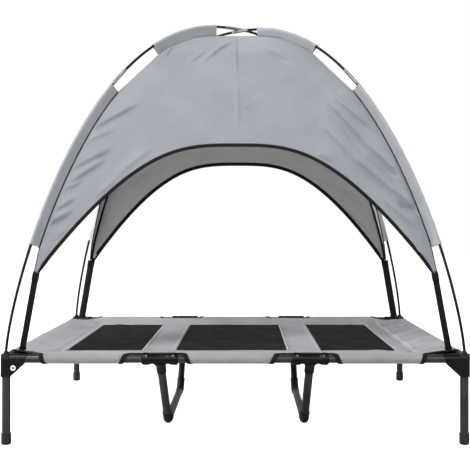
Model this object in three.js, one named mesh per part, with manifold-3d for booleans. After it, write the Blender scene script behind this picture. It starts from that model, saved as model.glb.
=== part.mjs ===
// Raised dog bed: a tubular steel frame on folding corner legs, a fabric deck with mesh inserts,
// and a sun canopy on two crossing poles that lifts out of the corner brackets.
// Millimetres, +Z up, +X along the bed, origin on the floor under its middle.
import * as THREE from "three";
import { mergeVertices } from "three/addons/utils/BufferGeometryUtils.js";
import Module from "manifold-3d";

const wasm = await Module();
wasm.setup();

// ---- Driving dimensions: whole bed ----
const LEG_SPACING_X = 1194; // between corner leg axes, along the bed
const LEG_SPACING_Y = 894; // between corner leg axes, across the bed
const RAIL_HEIGHT = 223; // rail axis above the floor
const TUBE_RADIUS = 11;
const TUBE_WALL = 1.2;
const SEAT_GAP = 0.3; // between pieces that touch face to face
const SOCKET_FIT = 0.5; // round a tube in its socket
const OVERRUN = 1; // how far a cutting tool runs past the piece it cuts

// ---- Corner bracket ----
const SOCKET_WALL = 1.7;
const SOCKET_LENGTH = 54; // from the leg axis to the mouth of a rail socket
const RAIL_STOP = 12; // from the leg axis to the bottom of a rail socket
const CHEEK_THICKNESS = 2;
const CHEEK_DROP = 46; // below the rail axis
const CHEEK_REACH = 47; // inboard of the leg axis
const POLE_BOSS_RISE = 20; // top of the pole boss above the rail axis
const POLE_BOSS_WALL = 3.2;

// ---- Folding corner leg ----
const PIVOT_INSET = 22; // rivet inboard of the leg axis
const PIVOT_DROP = 22; // rivet below the rail axis
const KNUCKLE_DEPTH = 40; // knuckle shoulder below the rail axis
const PLUG_LENGTH = 26;
const RIVET_RADIUS = 3;
const RIVET_HEAD_RADIUS = 7;
const RIVET_TAIL_RADIUS = 4.6;
const RIVET_HEAD_HEIGHT = 1.5;
const FOOT_CAP_WALL = 1.5;
const FOOT_CAP_HEIGHT = 30;
const FOOT_CAP_FLOOR = 5;
const FOOT_FLAT_RADIUS = 9;

// ---- Tee connectors and centre legs ----
const TEE_X = 196; // tee axis from the middle of the bed
const TEE_LENGTH = 95;
const TEE_WALL = 3;
const NECK_REACH = 59; // neck mouth from the rail axis, along the strut
const NECK_WALL = 1.8;
const CENTRE_FOOT_INSET = 220; // floor bend inboard of the rail axis
const CENTRE_BEND_RADIUS = 46;
const FOOT_SLEEVE_WALL = 1.6;
const FOOT_SLEEVE_TAIL = 24; // straight run of a foot sleeve past each end of the bend

// ---- Deck ----
const DECK_THICKNESS = 2;
const DECK_DROP = 14; // flat middle below the tops of the rail pockets
const END_SLOPE = 97; // run of the slope inboard of an end rail
const SIDE_SLOPE = 139; // run of the slope inboard of a long rail
const CUT_MARGIN = 10; // how far the cut-outs run past the pockets
const POCKET_FIT = 0.4;
const POCKET_WALL = 1.6;
const CORNER_CUT_X = 97; // corner cut-out along the long rail, from the leg axis
const CORNER_CUT_Y = 65; // corner cut-out along the side rail
const CORNER_BOW_X = 52; // control point of the curved edge of a corner cut-out
const CORNER_BOW_Y = 49;
const TEE_CUT_OUTER = 92; // half width of a tee cut-out in front of the rail
const TEE_CUT_INNER = 64; // half width of a tee cut-out behind the rail
const TEE_CUT_DEPTH = 25; // inboard of the rail axis
const MESH_MIDDLE_HALF = 155; // half length of the middle mesh insert
const MESH_OUTER_START = 250; // outer inserts, from the middle of the bed
const MESH_OUTER_END = 144; // outer inserts end this far inboard of the leg axes
const MESH_HALF_WIDTH = 302;

// ---- Canopy ----
const POLE_RADIUS = 3.75;
const POLE_FIT = 0.5;
const POLE_SEAT_DEPTH = 20;
const POLE_RISE = 943; // crest of the pole axes above the bosses, half way between the two poles
const POLE_SHOULDER = 2.27; // how square the pole arch is
const SLEEVE_FIT = 0.9;
const SLEEVE_WALL = 0.9;
const FIN_THICKNESS = 1.6;
const SEAM_OFFSET = 24; // seam inside the pole axis
const SEAM_GAP = 1.1; // panel edges from the plane of the pole
const LOWER_SLEEVE_BOTTOM = 75; // above the canopy tips
const LOWER_SLEEVE_TOP = 218; // below the crest of the pole axes
const UPPER_SLEEVE_BOTTOM = 90; // below the crest
const UPPER_SLEEVE_REACH = 82; // upper sleeve stops this far from the crest
const PANEL_THICKNESS = 2;
const PANEL_CREST_REACH = 6;
const PANEL_BOW = 8; // fabric pulled inward between the poles
const ARCH_TIP_HEIGHT = 445;
const ARCH_RISE = 347;
const ARCH_TIP_START = 0.963; // share of the half span where the arch meets its tip
const ARCH_SQUARENESS = 3.2;
const STRAP_WIDTH = 15;
const STRAP_THICKNESS = 1.6;
const STRAP_TOP_INSET = 11; // strap centre from the canopy seam, along the bed
const STRAP_FOOT_INSET_X = 27; // strap foot inboard of the end rail's axis
const STRAP_FOOT_INSET_Y = 59; // strap foot inboard of the long rail's axis

// ---- Facets ----
const TUBE_SIDES = 12;
const POLE_SIDES = 8;
const POLE_STEPS = 36;
const BEND_STEPS = 3;
const CURVE_STEPS = 4;
const PANEL_COLUMNS = 14;
const PANEL_ROWS = 6;
const SLOPE_STEPS = 3;

// ---- Derived sizes ----
const X_LEG = LEG_SPACING_X / 2;
const Y_LEG = LEG_SPACING_Y / 2;
const DIAGONAL = Math.hypot(X_LEG, Y_LEG);
const DIAGONAL_ANGLE = Math.atan2(Y_LEG, X_LEG);
const SOCKET_BORE = TUBE_RADIUS + SOCKET_FIT;
const SOCKET_RADIUS = SOCKET_BORE + SOCKET_WALL;
const CHEEK_INNER = TUBE_RADIUS + SOCKET_FIT;
const BRACKET_HALF_WIDTH = CHEEK_INNER + CHEEK_THICKNESS;
const KNUCKLE_TOP = -SOCKET_RADIUS - SEAT_GAP; // from the rail axis
const KNUCKLE_RADIUS = PIVOT_DROP - SOCKET_RADIUS - 2 * SEAT_GAP;
const KNUCKLE_SWING = Math.hypot(PIVOT_INSET + TUBE_RADIUS, PIVOT_DROP + KNUCKLE_TOP);
const OUTER_WALL_INNER = KNUCKLE_SWING + 2 * SEAT_GAP - PIVOT_INSET;
const BRACKET_OUTER = OUTER_WALL_INNER + CHEEK_THICKNESS;
const POLE_BORE = POLE_RADIUS + POLE_FIT;
const FOOT_CAP_RADIUS = TUBE_RADIUS + SOCKET_FIT + FOOT_CAP_WALL;
const TEE_RADIUS = SOCKET_BORE + TEE_WALL;
const NECK_RADIUS = SOCKET_BORE + NECK_WALL;
const FOOT_SLEEVE_RADIUS = SOCKET_BORE + FOOT_SLEEVE_WALL;
const CENTRE_FOOT_Y = Y_LEG - CENTRE_FOOT_INSET;
const STRUT_ANGLE = Math.atan2(RAIL_HEIGHT - FOOT_SLEEVE_RADIUS, CENTRE_FOOT_INSET);
const STRUT_START = TEE_RADIUS + 2 * SEAT_GAP; // strut end from the rail axis
const POCKET_BORE = TUBE_RADIUS + POCKET_FIT;
const POCKET_RADIUS = POCKET_BORE + POCKET_WALL;
const DECK_TOP = RAIL_HEIGHT + POCKET_RADIUS;
const POLE_BASE_HEIGHT = RAIL_HEIGHT + POLE_BOSS_RISE;
const POLE_OFFSET = POLE_RADIUS + SEAT_GAP; // each pole crosses this far above or below the mean
const SLEEVE_BORE = POLE_RADIUS + SLEEVE_FIT;

// ---- Materials ----
const material = (color, roughness, metalness) =>
  new THREE.MeshStandardMaterial({ color, roughness, metalness });
const BLACK_COAT = material(0x3c3d3f, 0.45, 0.3);
const BLACK_PLASTIC = material(0x1d1d1e, 0.55, 0);
const BLACK_RUBBER = material(0x2b2b2c, 0.8, 0);
const BRIGHT_STEEL = material(0xd8d9da, 0.3, 0.9);
const FIBREGLASS = material(0x1a1a1b, 0.3, 0);
const DECK_FABRIC = material(0xa5a6a9, 0.9, 0);
const MESH_FABRIC = material(0x343536, 0.9, 0);
const CANOPY_FABRIC = material(0xa7abb4, 0.8, 0);
const WEBBING = material(0x242425, 0.9, 0);

const root = new THREE.Group();

// ---- Solids ----

// A closed three.js geometry as a manifold solid.
function solid(geometry) {
  const plain = geometry.index ? geometry.toNonIndexed() : geometry.clone();
  const bare = new THREE.BufferGeometry();
  bare.setAttribute("position", plain.getAttribute("position"));
  const merged = mergeVertices(bare, 1e-4);
  const mesh = new wasm.Mesh({
    numProp: 3,
    vertProperties: new Float32Array(merged.getAttribute("position").array),
    triVerts: new Uint32Array(merged.index.array),
  });
  return new wasm.Manifold(mesh);
}

// A manifold solid back as a three.js geometry.
function geometryOf(manifold) {
  const mesh = manifold.getMesh();
  const geometry = new THREE.BufferGeometry();
  geometry.setAttribute("position", new THREE.BufferAttribute(mesh.vertProperties, 3));
  geometry.setIndex(new THREE.BufferAttribute(mesh.triVerts, 1));
  geometry.computeVertexNormals();
  return geometry;
}

function join(parts) {
  return parts.reduce((sum, part) => sum.add(part));
}

function cut(body, tools) {
  return tools.reduce((rest, tool) => rest.subtract(tool), body);
}

function addMesh(name, manifold, look, parent = root) {
  const mesh = new THREE.Mesh(geometryOf(manifold), look);
  mesh.name = name;
  parent.add(mesh);
  return mesh;
}

// A box between two opposite corners.
function box(low, high) {
  const size = high.map((value, axis) => value - low[axis]);
  const geometry = new THREE.BoxGeometry(...size);
  geometry.translate(...low.map((value, axis) => value + size[axis] / 2));
  return solid(geometry);
}

// A flat outline in the XZ plane, extruded along Y from yLow to yHigh.
function plateXZ(shape, yLow, yHigh) {
  const depth = yHigh - yLow;
  const geometry = new THREE.ExtrudeGeometry(shape, {
    depth,
    bevelEnabled: false,
    curveSegments: CURVE_STEPS,
  });
  geometry.rotateX(Math.PI / 2);
  geometry.translate(0, yHigh, 0);
  return solid(geometry);
}

// A flat outline in the XY plane, extruded along Z from zLow to zHigh.
function plateXY(shape, zLow, zHigh) {
  const geometry = new THREE.ExtrudeGeometry(shape, {
    depth: zHigh - zLow,
    bevelEnabled: false,
    curveSegments: CURVE_STEPS,
  });
  geometry.translate(0, 0, zLow);
  return solid(geometry);
}

// A body of revolution about the Z axis from a closed or axis-to-axis profile of [radius, z].
function turned(profile) {
  const points = profile.map(([radius, z]) => new THREE.Vector2(radius, z));
  const geometry = new THREE.LatheGeometry(points, TUBE_SIDES, Math.PI / TUBE_SIDES);
  geometry.rotateX(Math.PI / 2);
  return solid(geometry);
}

function circle(radius, sides = TUBE_SIDES) {
  const turn = (2 * Math.PI) / sides;
  return Array.from({ length: sides }, (_, i) => {
    const angle = (i + 0.5) * turn;
    return [radius * Math.cos(angle), radius * Math.sin(angle)];
  });
}

// A solid through rings of points; each ring is convex and turns the same way about the path.
function loft(rings) {
  const positions = [];
  const sides = rings[0].length;
  const face = (a, b, c) => positions.push(...a.toArray(), ...b.toArray(), ...c.toArray());
  for (let i = 1; i < rings.length; i++) {
    for (let j = 0; j < sides; j++) {
      const next = (j + 1) % sides;
      face(rings[i - 1][j], rings[i - 1][next], rings[i][next]);
      face(rings[i - 1][j], rings[i][next], rings[i][j]);
    }
  }
  const first = rings[0];
  const last = rings[rings.length - 1];
  for (let j = 1; j < sides - 1; j++) {
    face(first[0], first[j + 1], first[j]);
    face(last[0], last[j], last[j + 1]);
  }
  const geometry = new THREE.BufferGeometry();
  geometry.setAttribute("position", new THREE.Float32BufferAttribute(positions, 3));
  return solid(geometry);
}

// A convex outline carried through stations; a station has a point and two cross directions,
// and across x up points along the path.
function sweep(stations, outline) {
  const ring = ({ point, across, up }) =>
    outline.map(([a, b]) => point.clone().addScaledVector(across, a).addScaledVector(up, b));
  return loft(stations.map(ring));
}

// Two stations on a straight run.
function straight(from, to) {
  const along = to.clone().sub(from).normalize();
  const side = Math.abs(along.z) > 0.9 ? new THREE.Vector3(1, 0, 0) : new THREE.Vector3(0, 0, 1);
  const across = side.addScaledVector(along, -side.dot(along)).normalize();
  const up = along.clone().cross(across);
  return [from, to].map((point) => ({ point, across, up }));
}

// The same stations with the first and last moved outward, for a bore that runs past both ends.
function lengthened(stations, distance) {
  const outward = (station, sign) => {
    const along = station.across.clone().cross(station.up);
    return { ...station, point: station.point.clone().addScaledVector(along, sign * distance) };
  };
  const middle = stations.slice(1, -1);
  return [outward(stations[0], -1), ...middle, outward(stations[stations.length - 1], 1)];
}

// A tube with open ends along stations.
function pipe(stations, outer, inner) {
  const bore = sweep(lengthened(stations, OVERRUN), circle(inner));
  return sweep(stations, circle(outer)).subtract(bore);
}

function rod(from, to, radius) {
  return sweep(straight(from, to), circle(radius));
}

const at = (x, y, z) => new THREE.Vector3(x, y, z);

// A thin closed solid about a grid of points, half its thickness to each side.
function sheet(grid, thickness) {
  const rows = grid.length;
  const columns = grid[0].length;
  const normal = (i, j) => {
    const a = grid[Math.min(i + 1, rows - 1)][j].clone().sub(grid[Math.max(i - 1, 0)][j]);
    const b = grid[i][Math.min(j + 1, columns - 1)].clone().sub(grid[i][Math.max(j - 1, 0)]);
    return a.cross(b).normalize();
  };
  const layer = (offset) =>
    grid.map((row, i) => row.map((p, j) => p.clone().addScaledVector(normal(i, j), offset)));
  const over = layer(thickness / 2);
  const under = layer(-thickness / 2);
  const positions = [];
  const quad = (a, b, c, d) => {
    for (const corner of [a, b, c, a, c, d]) positions.push(...corner.toArray());
  };
  for (let i = 1; i < rows; i++) {
    for (let j = 1; j < columns; j++) {
      quad(over[i - 1][j - 1], over[i][j - 1], over[i][j], over[i - 1][j]);
      quad(under[i - 1][j - 1], under[i - 1][j], under[i][j], under[i][j - 1]);
    }
  }
  const end = columns - 1;
  for (let i = 1; i < rows; i++) {
    quad(over[i - 1][0], under[i - 1][0], under[i][0], over[i][0]);
    quad(over[i][end], under[i][end], under[i - 1][end], over[i - 1][end]);
  }
  const tail = rows - 1;
  for (let j = 1; j < columns; j++) {
    quad(over[0][j], under[0][j], under[0][j - 1], over[0][j - 1]);
    quad(over[tail][j - 1], under[tail][j - 1], under[tail][j], over[tail][j]);
  }
  const geometry = new THREE.BufferGeometry();
  geometry.setAttribute("position", new THREE.Float32BufferAttribute(positions, 3));
  return solid(geometry);
}

// ---- Corners: bracket, rivet and folding leg ----
// Each is built with local +X and +Y pointing inboard and its origin on the leg axis at rail height.

function cheekShape() {
  const shape = new THREE.Shape();
  shape.moveTo(-BRACKET_OUTER, 0);
  shape.lineTo(-BRACKET_OUTER, -CHEEK_DROP);
  shape.lineTo(TUBE_RADIUS, -CHEEK_DROP);
  shape.lineTo(CHEEK_REACH, -SOCKET_RADIUS);
  shape.lineTo(CHEEK_REACH, 0);
  return shape;
}

// The tool that drills a rivet hole through both sides of a piece of this half width.
function rivetHole(halfWidth) {
  const end = halfWidth + OVERRUN;
  const ends = [-end, end].map((y) => at(PIVOT_INSET, y, -PIVOT_DROP));
  return rod(...ends, RIVET_RADIUS + SOCKET_FIT);
}

function cornerBracket() {
  const width = BRACKET_HALF_WIDTH;
  const cheeks = [
    plateXZ(cheekShape(), -width, -CHEEK_INNER),
    plateXZ(cheekShape(), CHEEK_INNER, width),
  ];
  const body = join([
    ...cheeks,
    rod(at(0, 0, 0), at(SOCKET_LENGTH, 0, 0), SOCKET_RADIUS),
    rod(at(0, 0, 0), at(0, SOCKET_LENGTH, 0), SOCKET_RADIUS),
    box([-BRACKET_OUTER, -width, -SOCKET_RADIUS], [RAIL_STOP, width, SOCKET_RADIUS]),
    box([0, -width, -SOCKET_RADIUS], [CHEEK_REACH, width, 0]),
    box([-BRACKET_OUTER, -width, -CHEEK_DROP], [-OUTER_WALL_INNER, width, 0]),
    rod(at(0, 0, 0), at(0, 0, POLE_BOSS_RISE), POLE_BORE + POLE_BOSS_WALL),
  ]);
  const reach = SOCKET_LENGTH + OVERRUN;
  const poleFloor = POLE_BOSS_RISE - POLE_SEAT_DEPTH - SEAT_GAP;
  return cut(body, [
    rod(at(RAIL_STOP, 0, 0), at(reach, 0, 0), SOCKET_BORE),
    rod(at(0, RAIL_STOP, 0), at(0, reach, 0), SOCKET_BORE),
    rod(at(0, 0, poleFloor), at(0, 0, POLE_BOSS_RISE + OVERRUN), POLE_BORE),
    rivetHole(width),
  ]);
}

// A rivet about local Z, its head at the -Z end, half way through the bracket.
function legRivet() {
  const face = BRACKET_HALF_WIDTH + SEAT_GAP;
  const top = face + RIVET_HEAD_HEIGHT;
  const profile = [
    [0, -top],
    [RIVET_HEAD_RADIUS - RIVET_HEAD_HEIGHT / 2, -top],
    [RIVET_HEAD_RADIUS, -face],
    [RIVET_RADIUS, -face],
    [RIVET_RADIUS, face],
    [RIVET_TAIL_RADIUS, face],
    [RIVET_TAIL_RADIUS, top],
    [0, top],
  ];
  return turned(profile);
}

function hingeKnuckle() {
  const shape = new THREE.Shape();
  shape.moveTo(-TUBE_RADIUS, -KNUCKLE_DEPTH);
  shape.lineTo(TUBE_RADIUS, -KNUCKLE_DEPTH);
  shape.absarc(PIVOT_INSET, -PIVOT_DROP, KNUCKLE_RADIUS, -Math.PI / 4, Math.PI / 2);
  shape.lineTo(-TUBE_RADIUS, KNUCKLE_TOP);
  const plugRadius = TUBE_RADIUS - TUBE_WALL - SEAT_GAP;
  const plugBottom = -KNUCKLE_DEPTH - PLUG_LENGTH;
  const body = join([
    plateXZ(shape, -TUBE_RADIUS, TUBE_RADIUS),
    rod(at(0, 0, plugBottom), at(0, 0, -KNUCKLE_DEPTH + OVERRUN), plugRadius),
  ]);
  return body.subtract(rivetHole(TUBE_RADIUS));
}

function legTube() {
  const top = -KNUCKLE_DEPTH - SEAT_GAP;
  const bottom = -RAIL_HEIGHT + FOOT_CAP_FLOOR + SEAT_GAP;
  const stations = straight(at(0, 0, bottom), at(0, 0, top));
  return pipe(stations, TUBE_RADIUS, TUBE_RADIUS - TUBE_WALL);
}

function footCap() {
  const bore = TUBE_RADIUS + SOCKET_FIT;
  const round = FOOT_CAP_RADIUS - FOOT_FLAT_RADIUS;
  const slope = round * 0.3;
  const profile = [
    [0, -RAIL_HEIGHT],
    [FOOT_FLAT_RADIUS, -RAIL_HEIGHT],
    [FOOT_CAP_RADIUS - slope, -RAIL_HEIGHT + slope],
    [FOOT_CAP_RADIUS, -RAIL_HEIGHT + round],
    [FOOT_CAP_RADIUS, -RAIL_HEIGHT + FOOT_CAP_HEIGHT],
    [bore, -RAIL_HEIGHT + FOOT_CAP_HEIGHT],
    [bore, -RAIL_HEIGHT + FOOT_CAP_FLOOR],
    [0, -RAIL_HEIGHT + FOOT_CAP_FLOOR],
  ];
  return turned(profile);
}

const CORNERS = [
  { name: "front_left", sx: -1, sy: -1 },
  { name: "front_right", sx: 1, sy: -1 },
  { name: "back_left", sx: -1, sy: 1 },
  { name: "back_right", sx: 1, sy: 1 },
];

for (const { name, sx, sy } of CORNERS) {
  const corner = new THREE.Group();
  corner.position.set(sx * X_LEG, sy * Y_LEG, RAIL_HEIGHT);
  corner.scale.set(-sx, -sy, 1);
  root.add(corner);
  addMesh(`corner_bracket_${name}`, cornerBracket(), BLACK_PLASTIC, corner);
  const rivet = addMesh(`leg_rivet_${name}`, legRivet(), BRIGHT_STEEL, corner);
  rivet.position.set(PIVOT_INSET, 0, -PIVOT_DROP);
  rivet.rotation.x = (-sx * sy * Math.PI) / 2;
  addMesh(`hinge_knuckle_${name}`, hingeKnuckle(), BLACK_PLASTIC, corner);
  addMesh(`leg_tube_${name}`, legTube(), BLACK_COAT, corner);
  addMesh(`foot_cap_${name}`, footCap(), BLACK_RUBBER, corner);
}

// ---- Rails ----

function railTube(from, to) {
  return pipe(straight(from, to), TUBE_RADIUS, TUBE_RADIUS - TUBE_WALL);
}

const RAIL_END_X = X_LEG - RAIL_STOP - SEAT_GAP;
const RAIL_END_Y = Y_LEG - RAIL_STOP - SEAT_GAP;
const LONG_RAIL_PIECES = [
  { name: "left", from: -RAIL_END_X, to: -TEE_X - SEAT_GAP },
  { name: "centre", from: -TEE_X + SEAT_GAP, to: TEE_X - SEAT_GAP },
  { name: "right", from: TEE_X + SEAT_GAP, to: RAIL_END_X },
];
const LONG_SIDES = [
  { side: "front", sy: -1 },
  { side: "back", sy: 1 },
];
const SHORT_SIDES = [
  { end: "left", sx: -1 },
  { end: "right", sx: 1 },
];

for (const { side, sy } of LONG_SIDES) {
  for (const { name, from, to } of LONG_RAIL_PIECES) {
    const y = sy * Y_LEG;
    const tube = railTube(at(from, y, RAIL_HEIGHT), at(to, y, RAIL_HEIGHT));
    addMesh(`${side}_rail_${name}`, tube, BLACK_COAT);
  }
}
for (const { end, sx } of SHORT_SIDES) {
  const x = sx * X_LEG;
  const tube = railTube(at(x, -RAIL_END_Y, RAIL_HEIGHT), at(x, RAIL_END_Y, RAIL_HEIGHT));
  addMesh(`side_rail_${end}`, tube, BLACK_COAT);
}

// ---- Tee connectors: origin on the rail axis, local +Y inboard ----

function teeConnector() {
  const half = TEE_LENGTH / 2;
  const onStrut = (distance) =>
    at(0, distance * Math.cos(STRUT_ANGLE), -distance * Math.sin(STRUT_ANGLE));
  const body = join([
    rod(at(-half, 0, 0), at(half, 0, 0), TEE_RADIUS),
    rod(onStrut(0), onStrut(NECK_REACH), NECK_RADIUS),
  ]);
  return cut(body, [
    rod(at(-half - OVERRUN, 0, 0), at(half + OVERRUN, 0, 0), SOCKET_BORE),
    rod(onStrut(STRUT_START - SEAT_GAP), onStrut(NECK_REACH + OVERRUN), SOCKET_BORE),
  ]);
}

for (const { side, sy } of LONG_SIDES) {
  for (const { end, sx } of SHORT_SIDES) {
    const tee = addMesh(`tee_connector_${side}_${end}`, teeConnector(), BLACK_PLASTIC);
    tee.position.set(sx * TEE_X, sy * Y_LEG, RAIL_HEIGHT);
    tee.scale.set(1, -sy, 1);
  }
}

// ---- Centre legs: a bent tube in the YZ plane from the front tee to the back tee ----

// Stations round one floor bend, seen from its own tee, with a straight run before and after it.
function bendStations(before, after) {
  const trim = CENTRE_BEND_RADIUS * Math.tan(STRUT_ANGLE / 2);
  const strut = at(0, Math.cos(STRUT_ANGLE), -Math.sin(STRUT_ANGLE));
  const corner = at(0, -CENTRE_FOOT_Y, FOOT_SLEEVE_RADIUS);
  const start = corner.clone().addScaledVector(strut, -trim);
  const centre = at(0, corner.y + trim, corner.z + CENTRE_BEND_RADIUS);
  const across = at(1, 0, 0);
  const station = (point, angle) => ({
    point,
    across,
    up: at(0, -Math.sin(angle), -Math.cos(angle)),
  });
  const stations = [station(start.clone().addScaledVector(strut, -before), STRUT_ANGLE)];
  for (let i = 0; i <= BEND_STEPS; i++) {
    const angle = STRUT_ANGLE * (1 - i / BEND_STEPS);
    const y = centre.y - CENTRE_BEND_RADIUS * Math.sin(angle);
    const z = centre.z - CENTRE_BEND_RADIUS * Math.cos(angle);
    stations.push(station(at(0, y, z), angle));
  }
  const end = at(0, centre.y + after, FOOT_SLEEVE_RADIUS);
  stations.push(station(end, 0));
  return stations;
}

// Half of the bent tube, from a strut end to the middle of the bed.
function centreLegHalf() {
  const trim = CENTRE_BEND_RADIUS * Math.tan(STRUT_ANGLE / 2);
  const strutLength = Math.hypot(RAIL_HEIGHT - FOOT_SLEEVE_RADIUS, CENTRE_FOOT_INSET);
  return bendStations(strutLength - trim - STRUT_START, CENTRE_FOOT_Y - trim);
}

function mirroredY(stations) {
  const flip = ({ point, across, up }) => ({
    point: at(point.x, -point.y, point.z),
    across,
    up: at(up.x, -up.y, up.z),
  });
  return stations.map(flip).reverse();
}

const centreLegPath = [...centreLegHalf().slice(0, -1), ...mirroredY(centreLegHalf()).slice(1)];
const sleevePath = bendStations(FOOT_SLEEVE_TAIL, FOOT_SLEEVE_TAIL);
for (const { end, sx } of SHORT_SIDES) {
  const leg = new THREE.Group();
  leg.position.x = sx * TEE_X;
  root.add(leg);
  const tube = pipe(centreLegPath, TUBE_RADIUS, TUBE_RADIUS - TUBE_WALL);
  addMesh(`centre_leg_tube_${end}`, tube, BLACK_COAT, leg);
  for (const { side, sy } of LONG_SIDES) {
    const stations = sy < 0 ? sleevePath : mirroredY(sleevePath);
    const sleeve = pipe(stations, FOOT_SLEEVE_RADIUS, SOCKET_BORE);
    addMesh(`centre_foot_sleeve_${side}_${end}`, sleeve, BLACK_RUBBER, leg);
  }
}

// ---- Deck ----

// Middle of the fabric at a point of the deck, which slopes from the rail tops to a flat middle.
function deckHeight(x, y) {
  const lengthwise = Math.min((X_LEG - Math.abs(x)) / END_SLOPE, 1);
  const crosswise = Math.min((Y_LEG - Math.abs(y)) / SIDE_SLOPE, 1);
  return DECK_TOP - DECK_THICKNESS / 2 - DECK_DROP * lengthwise * crosswise;
}

function steps(from, to, count) {
  return Array.from({ length: count + 1 }, (_, i) => from + ((to - from) * i) / count);
}

// Stations across the deck: a few on each slope, and none on the flat middle between them.
function deckStations(half, slope) {
  const margin = steps(half - slope, half, SLOPE_STEPS);
  return [...margin.map((place) => -place).reverse(), ...margin];
}

function deckSheet(xs, ys) {
  const grid = xs.map((x) => ys.map((y) => at(x, y, deckHeight(x, y))));
  return sheet(grid, DECK_THICKNESS);
}

// The corner that the fabric leaves free for a bracket, in plan, with local axes inboard.
function cornerCutShape() {
  const outside = -POCKET_RADIUS - CUT_MARGIN;
  const shape = new THREE.Shape();
  shape.moveTo(outside, outside);
  shape.lineTo(CORNER_CUT_X - outside / 2, outside);
  shape.lineTo(CORNER_CUT_X, 0);
  shape.quadraticCurveTo(CORNER_BOW_X, CORNER_BOW_Y, 0, CORNER_CUT_Y);
  shape.lineTo(outside, CORNER_CUT_Y - outside / 2);
  return shape;
}

function teeCutShape() {
  const outside = -POCKET_RADIUS - CUT_MARGIN;
  const shape = new THREE.Shape();
  shape.moveTo(-TEE_CUT_OUTER, outside);
  shape.lineTo(TEE_CUT_OUTER, outside);
  shape.lineTo(TEE_CUT_OUTER, -POCKET_RADIUS);
  shape.lineTo(TEE_CUT_INNER, TEE_CUT_DEPTH);
  shape.lineTo(-TEE_CUT_INNER, TEE_CUT_DEPTH);
  shape.lineTo(-TEE_CUT_OUTER, -POCKET_RADIUS);
  return shape;
}

const MESH_INSERTS = [
  { name: "left", low: MESH_OUTER_END - X_LEG, high: -MESH_OUTER_START },
  { name: "middle", low: -MESH_MIDDLE_HALF, high: MESH_MIDDLE_HALF },
  { name: "right", low: MESH_OUTER_START, high: X_LEG - MESH_OUTER_END },
];

function deckFabric() {
  const low = RAIL_HEIGHT - 2 * POCKET_RADIUS;
  const high = RAIL_HEIGHT + 2 * POCKET_RADIUS;
  const cornerAt = (sx, sy) => at(sx * X_LEG, sy * Y_LEG, RAIL_HEIGHT);
  const runs = [
    straight(cornerAt(-1, -1), cornerAt(1, -1)),
    straight(cornerAt(-1, 1), cornerAt(1, 1)),
    straight(cornerAt(-1, -1), cornerAt(-1, 1)),
    straight(cornerAt(1, -1), cornerAt(1, 1)),
  ];
  const pockets = runs.map((run) => sweep(run, circle(POCKET_RADIUS)));
  const bores = runs.map((run) => sweep(lengthened(run, OVERRUN), circle(POCKET_BORE)));
  const windows = MESH_INSERTS.map((insert) =>
    box(
      [insert.low - SEAT_GAP, -MESH_HALF_WIDTH - SEAT_GAP, low],
      [insert.high + SEAT_GAP, MESH_HALF_WIDTH + SEAT_GAP, high],
    ),
  );
  const corners = CORNERS.map(({ sx, sy }) =>
    plateXY(cornerCutShape(), low, high)
      .scale([-sx, -sy, 1])
      .translate([sx * X_LEG, sy * Y_LEG, 0]),
  );
  const tees = LONG_SIDES.flatMap(({ sy }) =>
    SHORT_SIDES.map(({ sx }) =>
      plateXY(teeCutShape(), low, high)
        .scale([1, -sy, 1])
        .translate([sx * TEE_X, sy * Y_LEG, 0]),
    ),
  );
  const body = join([
    deckSheet(deckStations(X_LEG, END_SLOPE), deckStations(Y_LEG, SIDE_SLOPE)),
    ...pockets,
  ]);
  return cut(body, [...bores, ...windows, ...corners, ...tees]);
}

addMesh("deck_fabric", deckFabric(), DECK_FABRIC);
for (const { name, low, high } of MESH_INSERTS) {
  const insert = deckSheet([low, high], [-MESH_HALF_WIDTH, MESH_HALF_WIDTH]);
  addMesh(`mesh_insert_${name}`, insert, MESH_FABRIC);
}

// ---- Canopy: poles and sleeves are built in the plane of a pole, local X along the diagonal ----

class PoleArch extends THREE.Curve {
  constructor(rise) {
    super();
    this.rise = rise;
    this.arcLengthDivisions = 800;
  }
  getPoint(t) {
    const angle = Math.PI * t;
    const cosine = -Math.cos(angle);
    const reach = Math.sign(cosine) * DIAGONAL * Math.abs(cosine) ** (2 / POLE_SHOULDER);
    const height = POLE_BASE_HEIGHT + this.rise * Math.max(Math.sin(angle), 0) ** 1.5;
    return at(reach, 0, height);
  }
}

const meanArch = new PoleArch(POLE_RISE);

// Where along the first half of an arch a rising value reaches a target.
function shareWhere(value, target) {
  let low = 0;
  let high = 0.5;
  for (let i = 0; i < 40; i++) {
    const middle = (low + high) / 2;
    if (value(middle) < target) low = middle;
    else high = middle;
  }
  return (low + high) / 2;
}

// A point of a pole axis, on the straight facet between two of its stations.
function facetPoint(arch, share) {
  const step = Math.min(Math.floor(share * POLE_STEPS), POLE_STEPS - 1);
  const [from, to] = [step, step + 1].map((i) => arch.getPointAt(i / POLE_STEPS));
  return from.lerp(to, share * POLE_STEPS - step);
}

// A station of the arch, its up direction pointing away from the inside of the canopy.
function archStation(arch, share) {
  const point = facetPoint(arch, share);
  const vertical = share === 0 || share === 1;
  const along = vertical ? at(0, 0, 1 - 2 * share) : arch.getTangentAt(share);
  const across = at(0, 1, 0);
  return { point, across, up: along.cross(across) };
}

// Shares of an arch between two ends, in step with the stations of its pole.
function archShares(from, to) {
  const spacing = 1 / POLE_STEPS;
  const isInside = (share) => share > from + spacing / 4 && share < to - spacing / 4;
  return [from, ...steps(0, 1, POLE_STEPS).filter(isInside), to];
}

function archStations(arch, from, to) {
  return archShares(from, to).map((share) => archStation(arch, share));
}

function pole(arch) {
  const stations = archStations(arch, 0, 1);
  const foot = (station) => ({
    ...station,
    point: at(station.point.x, 0, POLE_BASE_HEIGHT - POLE_SEAT_DEPTH),
  });
  const path = [foot(stations[0]), ...stations, foot(stations[stations.length - 1])];
  return sweep(path, circle(POLE_RADIUS, POLE_SIDES));
}

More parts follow.
